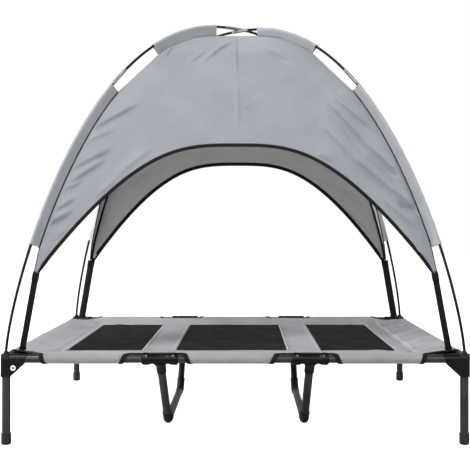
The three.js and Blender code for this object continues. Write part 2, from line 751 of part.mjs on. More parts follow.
// The seam line, or a line parallel to it that is moved outward.
function seamPoint(share, outward = 0) {
  const { point, up } = archStation(meanArch, share);
  return point.clone().addScaledVector(up, outward - SEAM_OFFSET);
}

// A fabric sleeve round the first half of a pole, with a fin that reaches in to the seam.
function poleSleeve(arch, from, to) {
  const stations = archStations(arch, from, to);
  const side = at(0, FIN_THICKNESS / 2, 0);
  const finRings = archShares(from, to).map((share) => {
    const outer = facetPoint(arch, share);
    const inner = seamPoint(share, PANEL_THICKNESS / 2 + SEAT_GAP);
    return [
      inner.clone().sub(side),
      inner.clone().add(side),
      outer.clone().add(side),
      outer.clone().sub(side),
    ];
  });
  const body = sweep(stations, circle(SLEEVE_BORE + SLEEVE_WALL, POLE_SIDES)).add(loft(finRings));
  return body.subtract(sweep(lengthened(stations, OVERRUN), circle(SLEEVE_BORE, POLE_SIDES)));
}

const upperPole = new PoleArch(POLE_RISE + POLE_OFFSET);
const lowerPole = new PoleArch(POLE_RISE - POLE_OFFSET);
const POLES = [
  { name: "upper", arch: upperPole, turn: DIAGONAL_ANGLE, quarters: ["front_left", "back_right"] },
  { name: "lower", arch: lowerPole, turn: -DIAGONAL_ANGLE, quarters: ["back_left", "front_right"] },
];

for (const { name, arch, turn, quarters } of POLES) {
  addMesh(`canopy_pole_${name}`, pole(arch), FIBREGLASS).rotation.z = turn;
  const whereHigh = (height) => shareWhere((share) => arch.getPointAt(share).z, height);
  const whereBelowCrest = (drop) => whereHigh(POLE_BASE_HEIGHT + POLE_RISE - drop);
  const crestEnd = shareWhere((share) => arch.getPointAt(share).x, -UPPER_SLEEVE_REACH);
  const lowerStart = whereHigh(ARCH_TIP_HEIGHT + LOWER_SLEEVE_BOTTOM);
  const runs = [
    { level: "lower", from: lowerStart, to: whereBelowCrest(LOWER_SLEEVE_TOP) },
    { level: "upper", from: whereBelowCrest(UPPER_SLEEVE_BOTTOM), to: crestEnd },
  ];
  quarters.forEach((quarter, half) => {
    for (const { level, from, to } of runs) {
      const sleeve = poleSleeve(arch, from, to);
      const mesh = addMesh(`pole_sleeve_${level}_${quarter}`, sleeve, CANOPY_FABRIC);
      mesh.rotation.z = turn + half * Math.PI;
    }
  });
}

// ---- Canopy panels: facing -Y, spanning X, between two seams ----

// Height of the doorway edge; side runs from -1 to 1 across a panel.
function archHeight(side) {
  const share = Math.min(Math.abs(side) / ARCH_TIP_START, 1);
  return ARCH_TIP_HEIGHT + ARCH_RISE * (1 - share ** ARCH_SQUARENESS);
}

// Columns crowd towards the tips, where the doorway edge is steep.
function panelSides() {
  const spread = (t) => (t + Math.sin((t * Math.PI) / 2)) / 2;
  return steps(-1, 1, PANEL_COLUMNS).map(spread);
}

function panelPoint(side, share, spanShare, depthShare) {
  const seam = seamPoint(share);
  const reach = -seam.x;
  const halfSpan = reach * spanShare - SEAM_GAP / depthShare;
  const bow = (PANEL_BOW * (1 - side ** 2) * reach) / DIAGONAL;
  return at(side * halfSpan, bow - reach * depthShare, seam.z);
}

function seamShareAt(height) {
  return shareWhere((share) => seamPoint(share).z, height);
}

function canopyPanel(spanShare, depthShare) {
  const top = shareWhere((share) => seamPoint(share).x, -PANEL_CREST_REACH);
  const grid = panelSides().map((side) =>
    steps(seamShareAt(archHeight(side)), top, PANEL_ROWS).map((share) =>
      panelPoint(side, share, spanShare, depthShare),
    ),
  );
  return sheet(grid, PANEL_THICKNESS);
}

const ALONG_SHARE = Math.cos(DIAGONAL_ANGLE);
const ACROSS_SHARE = Math.sin(DIAGONAL_ANGLE);
const PANELS = [
  { name: "front", turn: 0, shares: [ALONG_SHARE, ACROSS_SHARE] },
  { name: "back", turn: Math.PI, shares: [ALONG_SHARE, ACROSS_SHARE] },
  { name: "left", turn: -Math.PI / 2, shares: [ACROSS_SHARE, ALONG_SHARE] },
  { name: "right", turn: Math.PI / 2, shares: [ACROSS_SHARE, ALONG_SHARE] },
];
for (const { name, turn, shares } of PANELS) {
  addMesh(`canopy_panel_${name}`, canopyPanel(...shares), CANOPY_FABRIC).rotation.z = turn;
}

// ---- Corner straps: from a canopy tip down to the deck beside a bracket ----

function cornerStrap() {
  const tipShare = seamShareAt(ARCH_TIP_HEIGHT);
  const tip = panelPoint(1, tipShare, ALONG_SHARE, ACROSS_SHARE);
  const lip = (PANEL_THICKNESS / 2) * Math.abs(archStation(meanArch, tipShare).up.z);
  const top = at(tip.x - STRAP_TOP_INSET, -tip.y, tip.z - lip - SEAT_GAP);
  const halfWidth = STRAP_WIDTH / 2;
  const halfThickness = STRAP_THICKNESS / 2;
  const foot = at(X_LEG - STRAP_FOOT_INSET_X, Y_LEG - STRAP_FOOT_INSET_Y, 0);
  const highest = deckHeight(foot.x + halfWidth, foot.y + halfThickness);
  foot.z = highest + DECK_THICKNESS / 2 + SEAT_GAP;
  const ring = (centre) => [
    at(centre.x - halfWidth, centre.y - halfThickness, centre.z),
    at(centre.x + halfWidth, centre.y - halfThickness, centre.z),
    at(centre.x + halfWidth, centre.y + halfThickness, centre.z),
    at(centre.x - halfWidth, centre.y + halfThickness, centre.z),
  ];
  return loft([ring(foot), ring(top)]);
}

for (const { name, sx, sy } of CORNERS) {
  addMesh(`corner_strap_${name}`, cornerStrap(), WEBBING).scale.set(sx, sy, 1);
}

export default root;
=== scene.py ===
"""Raised dog bed with a sun canopy: a steel cot frame on folding legs, a cloth deck with mesh
inserts, and a canopy sheet on two crossing poles. Lengths are in millimetres unless a line says
metres; meshes are scaled to metres when they are made."""
import math

import bmesh
import bpy
import numpy as np
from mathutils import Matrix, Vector
from mathutils.geometry import delaunay_2d_cdt
from mathutils.kdtree import KDTree


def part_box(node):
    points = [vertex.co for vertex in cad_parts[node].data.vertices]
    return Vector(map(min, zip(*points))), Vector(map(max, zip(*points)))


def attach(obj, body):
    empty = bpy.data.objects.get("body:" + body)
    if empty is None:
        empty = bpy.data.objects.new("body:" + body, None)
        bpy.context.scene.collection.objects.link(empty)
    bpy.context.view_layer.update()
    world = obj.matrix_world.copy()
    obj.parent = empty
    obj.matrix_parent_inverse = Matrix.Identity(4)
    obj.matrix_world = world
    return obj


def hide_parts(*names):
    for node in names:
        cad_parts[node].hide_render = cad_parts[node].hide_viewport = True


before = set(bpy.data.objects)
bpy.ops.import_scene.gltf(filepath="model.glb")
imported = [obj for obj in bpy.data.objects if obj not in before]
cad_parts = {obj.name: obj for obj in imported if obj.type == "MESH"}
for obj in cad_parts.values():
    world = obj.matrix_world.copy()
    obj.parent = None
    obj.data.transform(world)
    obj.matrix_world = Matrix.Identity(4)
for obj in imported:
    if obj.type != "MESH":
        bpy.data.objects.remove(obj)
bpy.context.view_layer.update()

MM = 0.001
UP = np.array((0.0, 0.0, 1.0))
ALONG_X = np.array((1.0, 0.0, 0.0))
ALONG_Y = np.array((0.0, 1.0, 0.0))


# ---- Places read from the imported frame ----


def box_of(node):
    low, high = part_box(node)
    return np.array(low) / MM, np.array(high) / MM


def middle_of(node):
    low, high = box_of(node)
    return (low + high) / 2


X_LEG, Y_LEG, _ = middle_of("leg_tube_back_right")
RAIL_Z = middle_of("side_rail_left")[2]
TEE_X = middle_of("tee_connector_back_right")[0]

# ---- Sizes shared by the frame, the deck and the canopy ----

TUBE_RADIUS = 11
TUBE_WALL = 1.2
SOCKET_BORE = 11.5
SOCKET_RADIUS = 13.2
POCKET_RADIUS = 13
DECK_TOP = RAIL_Z + POCKET_RADIUS
DIAGONAL = math.hypot(X_LEG, Y_LEG)
CORNERS = {
    "front_left": (-1, -1),
    "front_right": (1, -1),
    "back_left": (-1, 1),
    "back_right": (1, 1),
}
ENDS = {"left": -1, "right": 1}
LONG_SIDES = {"front": -1, "back": 1}


# ---- Camera and lamps ----


def make_camera():
    """Level, in front of the bed and a little right of its middle."""
    data = bpy.data.cameras.new("camera")
    data.lens = 62.84
    data.sensor_width = 36
    data.shift_x = -0.0213
    data.shift_y = -0.016
    camera = bpy.data.objects.new("camera", data)
    camera.location = (0.0255, -2.585, 0.565)
    camera.rotation_euler = (math.pi / 2, 0, 0)
    bpy.context.scene.collection.objects.link(camera)
    bpy.context.scene.camera = camera


def make_lamp(name, place, target, size, watts):
    """A square soft box; lengths are in metres."""
    data = bpy.data.lights.new(name, "AREA")
    data.size = size
    data.energy = watts
    lamp = bpy.data.objects.new(name, data)
    lamp.location = place
    aim = Vector(target) - Vector(place)
    lamp.rotation_euler = aim.to_track_quat("-Z", "Y").to_euler()
    bpy.context.scene.collection.objects.link(lamp)


make_camera()


# ---- Shader nodes ----


def operator(operation):
    """A method that adds a Math node for a value and what it is combined with."""
    return lambda value, *others: value.maths(operation, value, *others)


class Value:
    """A shader socket used in Python sums: each operator adds a Math node."""

    def __init__(self, look, socket):
        self.look = look
        self.socket = socket

    def maths(self, operation, *sockets):
        return self.look.node("ShaderNodeMath", {"operation": operation}, dict(enumerate(sockets)))

    __add__ = operator("ADD")
    __mul__ = operator("MULTIPLY")
    __sub__ = operator("SUBTRACT")
    sine = operator("SINE")
    size = operator("ABSOLUTE")
    highest = operator("MAXIMUM")

    def ramp(self, low, high):
        """From 0 at low to 1 at high, smoothly, and level outside them."""
        settings = {"interpolation_type": "SMOOTHSTEP"}
        return self.look.node("ShaderNodeMapRange", settings, {0: self, 1: low, 2: high})


def shade(red, green, blue):
    """A colour given in the usual 0 to 255 steps, as the shader's linear values."""

    def linear(step):
        part = step / 255
        return part / 12.92 if part <= 0.04045 else ((part + 0.055) / 1.055) ** 2.4

    return (linear(red), linear(green), linear(blue))


FIXED_SOCKETS = {
    "metallic": "Metallic",
    "gloss": "Specular IOR Level",
    "coat": "Coat Weight",
    "coat_roughness": "Coat Roughness",
    "sheen": "Sheen Weight",
}


class Shading:
    """The node tree of a material or world, and one method that adds any node to it."""

    def __init__(self, owner):
        owner.use_nodes = True
        self.tree = owner.node_tree

    def node(self, kind, settings=None, sockets=None, output=0):
        made = self.tree.nodes.new(kind)
        for name, setting in (settings or {}).items():
            setattr(made, name, setting)
        for key, value in (sockets or {}).items():
            self.feed(made.inputs[key], value)
        return Value(self, made.outputs[output])

    def feed(self, socket, value):
        if isinstance(value, Value):
            self.tree.links.new(value.socket, socket)
        elif isinstance(value, tuple) and len(value) == 3 and socket.type == "RGBA":
            socket.default_value = (*value, 1)
        else:
            socket.default_value = value


class Look(Shading):
    """One finish: a Principled shader with the patterns that feed it."""

    def __init__(self, name, roughness=0.5, **fixed):
        self.material = bpy.data.materials.new(name)
        super().__init__(self.material)
        self.shader = self.tree.nodes["Principled BSDF"]
        self.shader.inputs["Roughness"].default_value = roughness
        for word, value in fixed.items():
            self.shader.inputs[FIXED_SOCKETS[word]].default_value = value

    def place(self):
        """Where a point lies on the piece, in millimetres."""
        coordinates = self.node("ShaderNodeTexCoord", output="Object")
        return self.scaled(coordinates, 1 / MM)

    def scaled(self, vector, factor):
        settings = {"operation": "MULTIPLY"}
        factors = factor if isinstance(factor, tuple) else (factor,) * 3
        return self.node("ShaderNodeVectorMath", settings, {0: vector, 1: factors})

    def cloth_place(self):
        """Where a point lies on the flat cloth, in millimetres, as (vector, across, along)."""
        flat = self.node("ShaderNodeUVMap", {"uv_map": "cloth"})
        place = self.scaled(flat, 1000)
        across = self.node("ShaderNodeSeparateXYZ", {}, {0: place}, "X")
        along = self.node("ShaderNodeSeparateXYZ", {}, {0: place}, "Y")
        return place, across, along

    def noise(self, vector, grain, detail=2.0, roughness=0.5, stretch=(1, 1, 1)):
        """Smooth noise whose lumps are about grain millimetres long."""
        place = self.scaled(vector, tuple(1 / (grain * part) for part in stretch))
        sockets = {"Vector": place, "Scale": 1.0, "Detail": detail, "Roughness": roughness}
        return self.node("ShaderNodeTexNoise", {}, sockets, "Fac")

    def tint(self, factor, first, second):
        """A colour between two, each a (red, green, blue) in steps of 255 or a socket."""
        first, second = (shade(*each) if isinstance(each, tuple) else each for each in (first, second))
        return self.node("ShaderNodeMix", {"data_type": "RGBA"}, {0: factor, 6: first, 7: second}, 2)

    def finished(self, colour, roughness, height, depth):
        """The material, its surface raised by height times depth millimetres."""
        sockets = {"Height": height, "Distance": depth * MM, "Strength": 1.0}
        bump = self.node("ShaderNodeBump", {}, sockets)
        for name, value in {"Base Color": colour, "Roughness": roughness, "Normal": bump}.items():
            self.feed(self.shader.inputs[name], value)
        return self.material


# ---- Finishes ----


def hard_finish(name, base, worn, roughness, grain, relief, gloss=0.2, coat=0.0):
    """A painted or moulded surface: fine grain, soft mottling and paler worn patches."""
    look = Look(name, roughness, gloss=gloss, coat=coat, coat_roughness=0.12)
    place = look.place()
    fine = look.noise(place, grain, 3)
    broad = look.noise(place, 60, 2)
    patches = look.noise(place, 9, 4, 0.65).ramp(0.62, 0.8)
    tone = look.tint(broad.ramp(0.3, 0.7), base, worn)
    colour = look.tint(patches * 0.25 + fine * 0.12, tone, worn)
    return look.finished(colour, fine * 0.14 + broad * 0.12 + (roughness - 0.13), fine, relief)


def bright_finish(name, base, dull, roughness, metallic):
    """Plated steel with faint turning marks and a little tarnish."""
    look = Look(name, roughness, metallic=metallic)
    place = look.place()
    marks = look.noise(place, 0.5, 2, 0.6, (1, 1, 9))
    tarnish = look.noise(place, 6, 4, 0.6).ramp(0.45, 0.85)
    colour = look.tint(tarnish * 0.6, base, dull)
    return look.finished(colour, tarnish * 0.22 + marks * 0.1 + roughness, marks, 0.03)


POWDER_COAT = hard_finish("powder_coat", (36, 36, 37), (52, 52, 54), 0.34, 0.9, 0.02, 0.32, 0.1)
MOULDED_BLACK = hard_finish("moulded_black", (6, 6, 7), (18, 18, 19), 0.32, 1.1, 0.03, 0.12, 0.06)
FOOT_RUBBER = hard_finish("foot_rubber", (36, 36, 37), (54, 54, 55), 0.78, 1.4, 0.08)
POLE_BLACK = hard_finish("pole_black", (10, 10, 11), (24, 24, 25), 0.36, 1.6, 0.02, 0.1)
DULL_STEEL = bright_finish("dull_steel", (128, 129, 131), (92, 93, 95), 0.38, 0.7)
RIVET_STEEL = bright_finish("rivet_nickel", (250, 250, 250), (214, 215, 217), 0.42, 0.45)


# ---- Forms: points in millimetres, faces, and where the faces lie on flat cloth ----


class Form:
    """A mesh in the making, in millimetres."""

    def __init__(self):
        self.points = np.zeros((0, 3))
        self.faces = []
        self.cloth = []

    def add(self, points, faces, cloth=None):
        start = len(self.points)
        self.points = np.vstack([self.points, points])
        self.faces += [tuple(start + i for i in face) for face in faces]
        self.cloth += cloth if cloth else [None] * len(faces)
        return self

    def join(self, *others):
        for other in others:
            self.add(other.points, other.faces, other.cloth)
        return self

    def moved(self, offset):
        self.points = self.points + np.asarray(offset, float)
        return self

    def turned(self, axes):
        """The same form with its own X, Y and Z axes along three given directions."""
        self.points = self.points @ np.asarray(axes, float)
        return self


def unit(vectors):
    vectors = np.asarray(vectors, float)
    return vectors / np.maximum(np.linalg.norm(vectors, axis=-1, keepdims=True), 1e-9)


def lengths_along(points):
    steps = np.linalg.norm(np.diff(points, axis=0), axis=1)
    return np.concatenate([[0.0], np.cumsum(steps)])


def resampled(points, places):
    """The points of a line at given lengths along it."""
    whole = lengths_along(points)
    return np.column_stack([np.interp(places, whole, column) for column in points.T])


def looped(loop):
    """A closed loop with its first point repeated at its end."""
    return np.vstack([loop, loop[:1]])


NO_CLOTH = (0, 0)


def loft(rings, closed=True, caps=True, ends_meet=False):
    """Faces between rings of points. Closed rings join their last point to their first."""
    rings = np.asarray(rings, float)
    count, sides = rings.shape[:2]
    index = np.arange(count * sides).reshape(count, sides)
    along = lengths_along(rings[:, 0])
    across = lengths_along(looped(rings[count // 2]))
    faces = []
    cloth = []
    for i in range(count if ends_meet else count - 1):
        j = (i + 1) % count
        far = along[i + 1] if i + 1 < count else along[-1] + 1
        for k in range(sides if closed else sides - 1):
            m = (k + 1) % sides
            faces.append((index[i, k], index[i, m], index[j, m], index[j, k]))
            low, high = across[k], across[k + 1]
            cloth.append(((low, along[i]), (high, along[i]), (high, far), (low, far)))
    if caps and closed and not ends_meet:
        faces += [tuple(index[0, ::-1]), tuple(index[-1])]
        cloth += [(NO_CLOTH,) * sides] * 2
    return Form().add(rings.reshape(-1, 3), faces, cloth)


def path_axes(path, across):
    """A path as an array, and the sideways and upward unit vectors at each of its points."""
    path = np.asarray(path, float)
    tangent = unit(np.gradient(path, axis=0))
    across = np.broadcast_to(np.asarray(across, float), path.shape)
    across = unit(across - (across * tangent).sum(1, keepdims=True) * tangent)
    return path, across, np.cross(across, tangent)


def swept(path, across, outline, closed=True, caps=True):
    """Carries an outline, or one for each point, of (across, up) offsets along a path."""
    path, across, up = path_axes(path, across)
    outline = np.asarray(outline, float)
    sideways = outline[..., :1] * across[:, None]
    return loft(path[:, None] + sideways + outline[..., 1:] * up[:, None], closed, caps)


def circle(radius, sides=40):
    angles = np.arange(sides) * 2 * math.pi / sides
    return np.column_stack([radius * np.cos(angles), radius * np.sin(angles)])


def pipe(path, across, outer, inner, sides=40):
    """An open tube; outer and inner may be one radius or one for each point of the path."""
    path, across, up = path_axes(path, across)
    turn = circle(1, sides)
    spokes = turn[:, :1] * across[:, None] + turn[:, 1:] * up[:, None]
    outside = path[:, None] + np.reshape(outer, (-1, 1, 1)) * spokes
    inside = path[:, None] + np.reshape(inner, (-1, 1, 1)) * spokes
    return loft(np.concatenate([outside, inside[::-1]]), ends_meet=True)


def lathe(profile, sides=40):
    """A body of revolution about Z from a list of (radius, height)."""
    rings = []
    for radius, height in profile:
        ring = circle(max(radius, 0.01), sides)
        rings.append(np.column_stack([ring, np.full(sides, height)]))
    return loft(rings)


def prism(outline, low, high):
    """An outline of (x, z) carried along Y."""
    rings = [[(x, y, z) for x, z in outline] for y in (low, high)]
    return loft(rings)


def slab(low, high):
    """A block between two opposite corners, to be bevelled with the piece it belongs to."""
    (x0, y0, z0), (x1, y1, z1) = low, high
    return prism([(x0, z0), (x1, z0), (x1, z1), (x0, z1)], y0, y1)


def arc(centre, radius, start, end, count):
    """Points of an arc in a plane; angles are in degrees."""
    angles = np.radians(np.linspace(start, end, count))
    return [(centre[0] + radius * math.cos(a), centre[1] + radius * math.sin(a)) for a in angles]


def straight(start, end, count=2):
    return np.linspace(np.asarray(start, float), np.asarray(end, float), count)


# ---- Pieces ----


def piece(name, form, looks, body, *nodes, slot=None, sharp=38, bevel=0.0, closed=True):
    """Makes an object of a form, which rides on a body and stands for CAD nodes."""
    mesh = bpy.data.meshes.new(name)
    mesh.from_pydata((form.points * MM).tolist(), [], form.faces)
    if any(place is not None for place in form.cloth):
        layer = mesh.uv_layers.new(name="cloth")
        flat = [corner for face in form.cloth for corner in face]
        layer.data.foreach_set("uv", np.array(flat, float).ravel() * MM)
    if closed:
        edit = bmesh.new()
        edit.from_mesh(mesh)
        bmesh.ops.recalc_face_normals(edit, faces=edit.faces)
        edit.to_mesh(mesh)
        edit.free()
    mesh.shade_smooth()
    for look in looks if isinstance(looks, tuple) else (looks,):
        mesh.materials.append(look)
    made = bpy.data.objects.new(name, mesh)
    bpy.context.scene.collection.objects.link(made)
    if bevel:
        rounding = made.modifiers.new("rounded_edges", "BEVEL")
        rounding.width = bevel * MM
        rounding.segments = 3
        rounding.limit_method = "ANGLE"
        rounding.angle_limit = math.radians(35)
        rounding.harden_normals = True
    elif sharp:
        mesh.set_sharp_from_angle(angle=math.radians(sharp))
    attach(made, body)
    if nodes:
        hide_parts(*nodes)
    return made


def cloth_piece(name, form, looks, body, nodes, slot, thickness):
    """A piece of cloth, thickened inwards from its outer face."""
    made = piece(name, form, looks, body, *nodes, slot=slot, sharp=0, closed=False)
    solid = made.modifiers.new("cloth_thickness", "SOLIDIFY")
    solid.thickness = thickness * MM
    solid.offset = -1
    return made


def placed(form, flips, side_x, side_y, x=X_LEG):
    """Moves a form from axes of its own, which point inboard, to a place on a rail."""
    form.points = form.points * (*flips, 1)
    return form.moved((side_x * x, side_y * Y_LEG, RAIL_Z))


# ---- Corner brackets ----

SOCKET_LENGTH = 52
SOCKET_SLANT = 5
CHEEK_REACH = 47
CHEEK_DROP = 46
BRACKET_HALF = 13.5
HOUSING_TOP = 13.6
BOSS_TOP = 19.8
PIVOT_INSET = 22
PIVOT_DROP = 22


def socket_arm():
    """A rail socket along X with a slanted mouth, longest at its top."""
    path = straight((0, 0, 0), (SOCKET_LENGTH, 0, 0), 3)
    arm = pipe(path, ALONG_Y, SOCKET_RADIUS, SOCKET_BORE, 48)
    at_mouth = arm.points[:, 0] > SOCKET_LENGTH - 1
    arm.points[at_mouth, 0] += SOCKET_SLANT / SOCKET_RADIUS * arm.points[at_mouth, 2]
    return arm


def cheek(low, high):
    """A side plate, sloping from the rail socket down to the leg."""
    toe = arc((9, -CHEEK_DROP + 5), 5, 270, 315, 3)
    heel = arc((CHEEK_REACH - 5, -SOCKET_RADIUS + 1), 4, -45, 0, 3)
    shoulder = arc((CHEEK_REACH + 0.6, 0), 2, 0, 90, 3)
    outline = [(-7, 2), (-7, -CHEEK_DROP), *toe, *heel, *shoulder]
    return prism(outline, low, high)


def cheek_rim(y):
    """A thin bead along the sloping lower edge of a side plate."""
    path = [(-5, y, -CHEEK_DROP + 0.8), (2, y, -CHEEK_DROP + 0.8)]
    path += [(x, y, z) for x, z in arc((8, -CHEEK_DROP + 6), 5.2, 270, 315, 4)]
    path += [(CHEEK_REACH - 3, y, -SOCKET_RADIUS - 1.4)]
    return swept(path, ALONG_Y, circle(1.0, 10))


def leg_housing():
    """The upright shell over the top of the leg, open below, with a round-cornered section."""
    half_x, half_y, corner, wall = 13.0, BRACKET_HALF + 0.5, 8.0, 1.5
    foot = -CHEEK_DROP
    levels = [(wall, foot + 1), (0.6, foot + 0.4), (0, foot + 1.2), (0, HOUSING_TOP - 1.6)]
    levels += [(0.5, HOUSING_TOP - 0.5), (1.6, HOUSING_TOP)]
    rings = []
    for inset, height in levels:
        x, y, radius = half_x - inset, half_y - inset, corner - inset
        ring = []
        for sx, sy, start in ((1, 1, 0), (-1, 1, 90), (-1, -1, 180), (1, -1, 270)):
            ring += arc((sx * (x - radius), sy * (y - radius)), radius, start, start + 90, 9)
        rings.append([(px, py, height) for px, py in ring])
    lid = rings[-1]
    return loft(rings, caps=False).add(lid, [tuple(range(len(lid)))], [(NO_CLOTH,) * len(lid)])


def pole_boss():
    """The stepped socket that a canopy pole stands in."""
    profile = [(8.6, HOUSING_TOP - 1), (8.0, HOUSING_TOP + 1.2), (6.9, HOUSING_TOP + 2)]
    profile += [(6.5, BOSS_TOP - 1.2), (6.1, BOSS_TOP - 0.2), (4.6, BOSS_TOP), (4.3, BOSS_TOP - 0.6)]
    return lathe([*profile, (4.3, 2), (0, 2)], 32)


def pivot_collar(y, way):
    """A raised round seat for the rivet, on one side plate."""
    profile = [(10.2, 0), (10.2, 0.9), (9.6, 1.5), (8.6, 1.5), (8.2, 0.7), (0, 0.6)]
    collar = lathe(profile, 32).turned([(1, 0, 0), (0, 0, 1), (0, way, 0)])
    return collar.moved((PIVOT_INSET, y, -PIVOT_DROP))


def corner_bracket():
    """Two rail sockets, two side plates, a leg housing and a pole socket, moulded as one."""
    half = BRACKET_HALF
    arm = socket_arm()
    side_arm = socket_arm()
    side_arm.points = side_arm.points[:, [1, 0, 2]]
    form = Form().join(arm, side_arm, leg_housing(), pole_boss())
    form.join(cheek(-half - 0.9, -half + 2), cheek(half - 2, half + 0.9))
    form.join(slab((6, -half, -SOCKET_RADIUS), (CHEEK_REACH - 2, half, -8)))
    form.join(cheek_rim(-half - 0.6), cheek_rim(half + 0.6))
    form.join(pivot_collar(-half - 0.5, -1), pivot_collar(half + 0.5, 1))
    web = [(8, -12.4), (40, -12.4), (30, -16), (8, -16)]
    return form.join(prism(web, -half + 1, half - 1))


def leg_rivet(way):
    """A tubular rivet across the bracket, its rolled head towards way along Y."""
    face = BRACKET_HALF + 1.3
    head = [(2.9, face - 2.4), (2.9, face + 0.9), (3.5, face + 1.4), (5.2, face + 1.6)]
    head += [(6.7, face + 1.1), (7.2, face + 0.2)]
    tail = [(3.1, -face), (4.6, -face), (4.5, -face - 0.9), (3.4, -face - 1.4), (1.2, -face - 1)]
    body = lathe([(0, face - 2.4), *head, (3.1, face), *tail, (0, -face + 1)], 48)
    return body.turned([(1, 0, 0), (0, 0, 1), (0, way, 0)]).moved((PIVOT_INSET, 0, -PIVOT_DROP))


def hinge_knuckle():
    """The moulded plug in the top of a leg, with the eye that turns on the rivet."""
    eye = arc((PIVOT_INSET, -PIVOT_DROP), 8.2, -45, 90, 9)
    outline = [(-10.8, -40), (10.8, -40), *eye, (-10.8, -13.6)]
    plug = lathe([(0, -66), (8.6, -66), (9.4, -64.5), (9.4, -39.5), (0, -39.5)], 32)
    collar = lathe([(0, -42.6), (11.2, -42.6), (11.2, -39.6), (0, -39.6)], 36)
    return prism(outline, -10.8, 10.8).join(plug, collar)


def leg_tube():
    path = straight((0, 0, -RAIL_Z + 5.3), (0, 0, -42.8), 12)
    return pipe(path, ALONG_X, TUBE_RADIUS, TUBE_RADIUS - TUBE_WALL)


def foot_cap():
    """A cap with a rounded sole and two ribs round its skirt, heights from the floor."""
    sole = [(0, 0), (7.5, 0)] + arc((7.8, 5.2), 5.2, -80, 0, 7)
    skirt = [(13, 21), (12.5, 21.8), (12.5, 23.2), (13, 24), (13, 28.8), (12.5, 30), (11.3, 30)]
    bore = [(11.2, 29), (11.2, 5), (0, 5)]
    return lathe(sole + skirt + bore, 44).moved((0, 0, -RAIL_Z))


def make_corner(corner, side_x, side_y):
    leg = f"leg_{corner}"
    rivet_way = -1 if side_x * side_y > 0 else 1
    rivet_look = RIVET_STEEL if rivet_way < 0 else MOULDED_BLACK
    parts = (
        ("bracket_{}", corner_bracket(), MOULDED_BLACK, "frame", "corner_bracket", "black_plastic", 0.5),
        ("rivet_{}", leg_rivet(rivet_way), rivet_look, "frame", "leg_rivet", "bright_steel", 0),
        ("knuckle_{}", hinge_knuckle(), MOULDED_BLACK, leg, "hinge_knuckle", "black_plastic", 0.6),
        ("leg_{}_tube", leg_tube(), POWDER_COAT, leg, "leg_tube", "frame_coat", 0),
        ("foot_{}", foot_cap(), FOOT_RUBBER, leg, "foot_cap", "foot_rubber", 0),
    )
    for name, form, look, body, node, slot, bevel in parts:
        form = placed(form, (-side_x, -side_y), side_x, side_y)
        piece(name.format(corner), form, look, body, f"{node}_{corner}", slot=slot, bevel=bevel)


for corner, sides in CORNERS.items():
    make_corner(corner, *sides)


# ---- Rails ----


def make_rail(node, axis):
    """A straight tube in the place of a CAD rail, along X (axis 0) or Y (axis 1)."""
    low, high = box_of(node)
    start = (low + high) / 2
    end = start.copy()
    start[axis], end[axis] = low[axis], high[axis]
    across = (ALONG_Y, ALONG_X)[axis]
    tube = pipe(straight(start, end, 16), across, TUBE_RADIUS, TUBE_RADIUS - TUBE_WALL)
    piece(f"{node}_tube", tube, POWDER_COAT, "frame", node, slot="frame_coat")


LONG_RAILS = [f"{side}_rail_{part}" for side in LONG_SIDES for part in ("left", "centre", "right")]
SIDE_RAILS = [f"side_rail_{end}" for end in ENDS]
for rail in LONG_RAILS + SIDE_RAILS:
    make_rail(rail, axis=int(rail in SIDE_RAILS))


# ---- Tee connectors and centre legs: local Y points inboard, origin on the rail axis ----

TEE_HALF = 47.5
TEE_SEAT = 15.1
NECK_REACH = 59
BEND_RADIUS = 46
SLEEVE_RADIUS = 13.1
SLEEVE_TAIL = 24
CENTRE_FOOT_INSET = 220
CENTRE_FOOT_Y = Y_LEG - CENTRE_FOOT_INSET
STRUT_ANGLE = math.atan2(RAIL_Z - SLEEVE_RADIUS, CENTRE_FOOT_INSET)
STRUT = np.array((0, math.cos(STRUT_ANGLE), -math.sin(STRUT_ANGLE)))
BEND_TRIM = BEND_RADIUS * math.tan(STRUT_ANGLE / 2)


def along_profile(profile):
    """The places and the radii of a list of (place, radius), mirrored to both ends."""
    places, radii = zip(*profile)
    return np.array([-p for p in places[::-1]] + list(places)), np.array(radii[::-1] + radii)


def screw(radius, height):
    """A pan-head screw with a hexagon recess, its seat at the origin and its head upwards."""
    rim = [(radius * 1.25, 0), (radius * 1.25, 0.7), (radius, 0.8), (radius, height * 0.5)]
    dome = [(radius * 0.86, height * 0.85), (radius * 0.5, height), (radius * 0.46, height)]
    return lathe([(0, -1), *rim, *dome, (radius * 0.42, height * 0.35), (0, height * 0.3)], 18)


def tee_connector():
    """A sleeve over two rail ends, with the slanted neck that a centre leg plugs into."""
    profile = [(0.1, 13.5), (22, 13.6), (25.5, 14.4), (29, 16.1), (41, 16.3), (44.5, 15.5)]
    places, radii = along_profile(profile + [(46.8, 14.4), (TEE_HALF, 12.9)])
    form = pipe(places[:, None] * ALONG_X, ALONG_Y, radii, SOCKET_BORE, 48)
    reach = np.array([4, 12, 16, 20, 25, 32, 44, 54, 57.6, NECK_REACH])
    radii = np.array([16.5, 16.5, 15.8, 14.6, 13.7, 13.4, 13.3, 13.3, 13.1, 12.2])
    neck = pipe(reach[:, None] * STRUT, ALONG_X, radii, SOCKET_BORE, 48)
    out = neck.points @ STRUT
    neck.points[:, 0] *= 1 + 0.22 * np.clip((26 - out) / 14, 0, 1) ** 2
    pad = slab((-25, -8.5, 8), (25, 8.5, 15.2))
    ribs = [slab((side * 34 - 1, 4, -15), (side * 34 + 1, 15.4, 0)) for side in (-1, 1)]
    return form.join(neck, pad, *ribs)


def tee_screws():
    """Two screws in the tee's outer upper face, which leans outboard."""
    lean = [(1, 0, 0), (0, 0.62, 0.785), (0, -0.785, 0.62)]
    heads = [screw(2.6, 1.8).turned(lean).moved((side * 35, -12, 9.4)) for side in (-1, 1)]
    return Form().join(*heads)


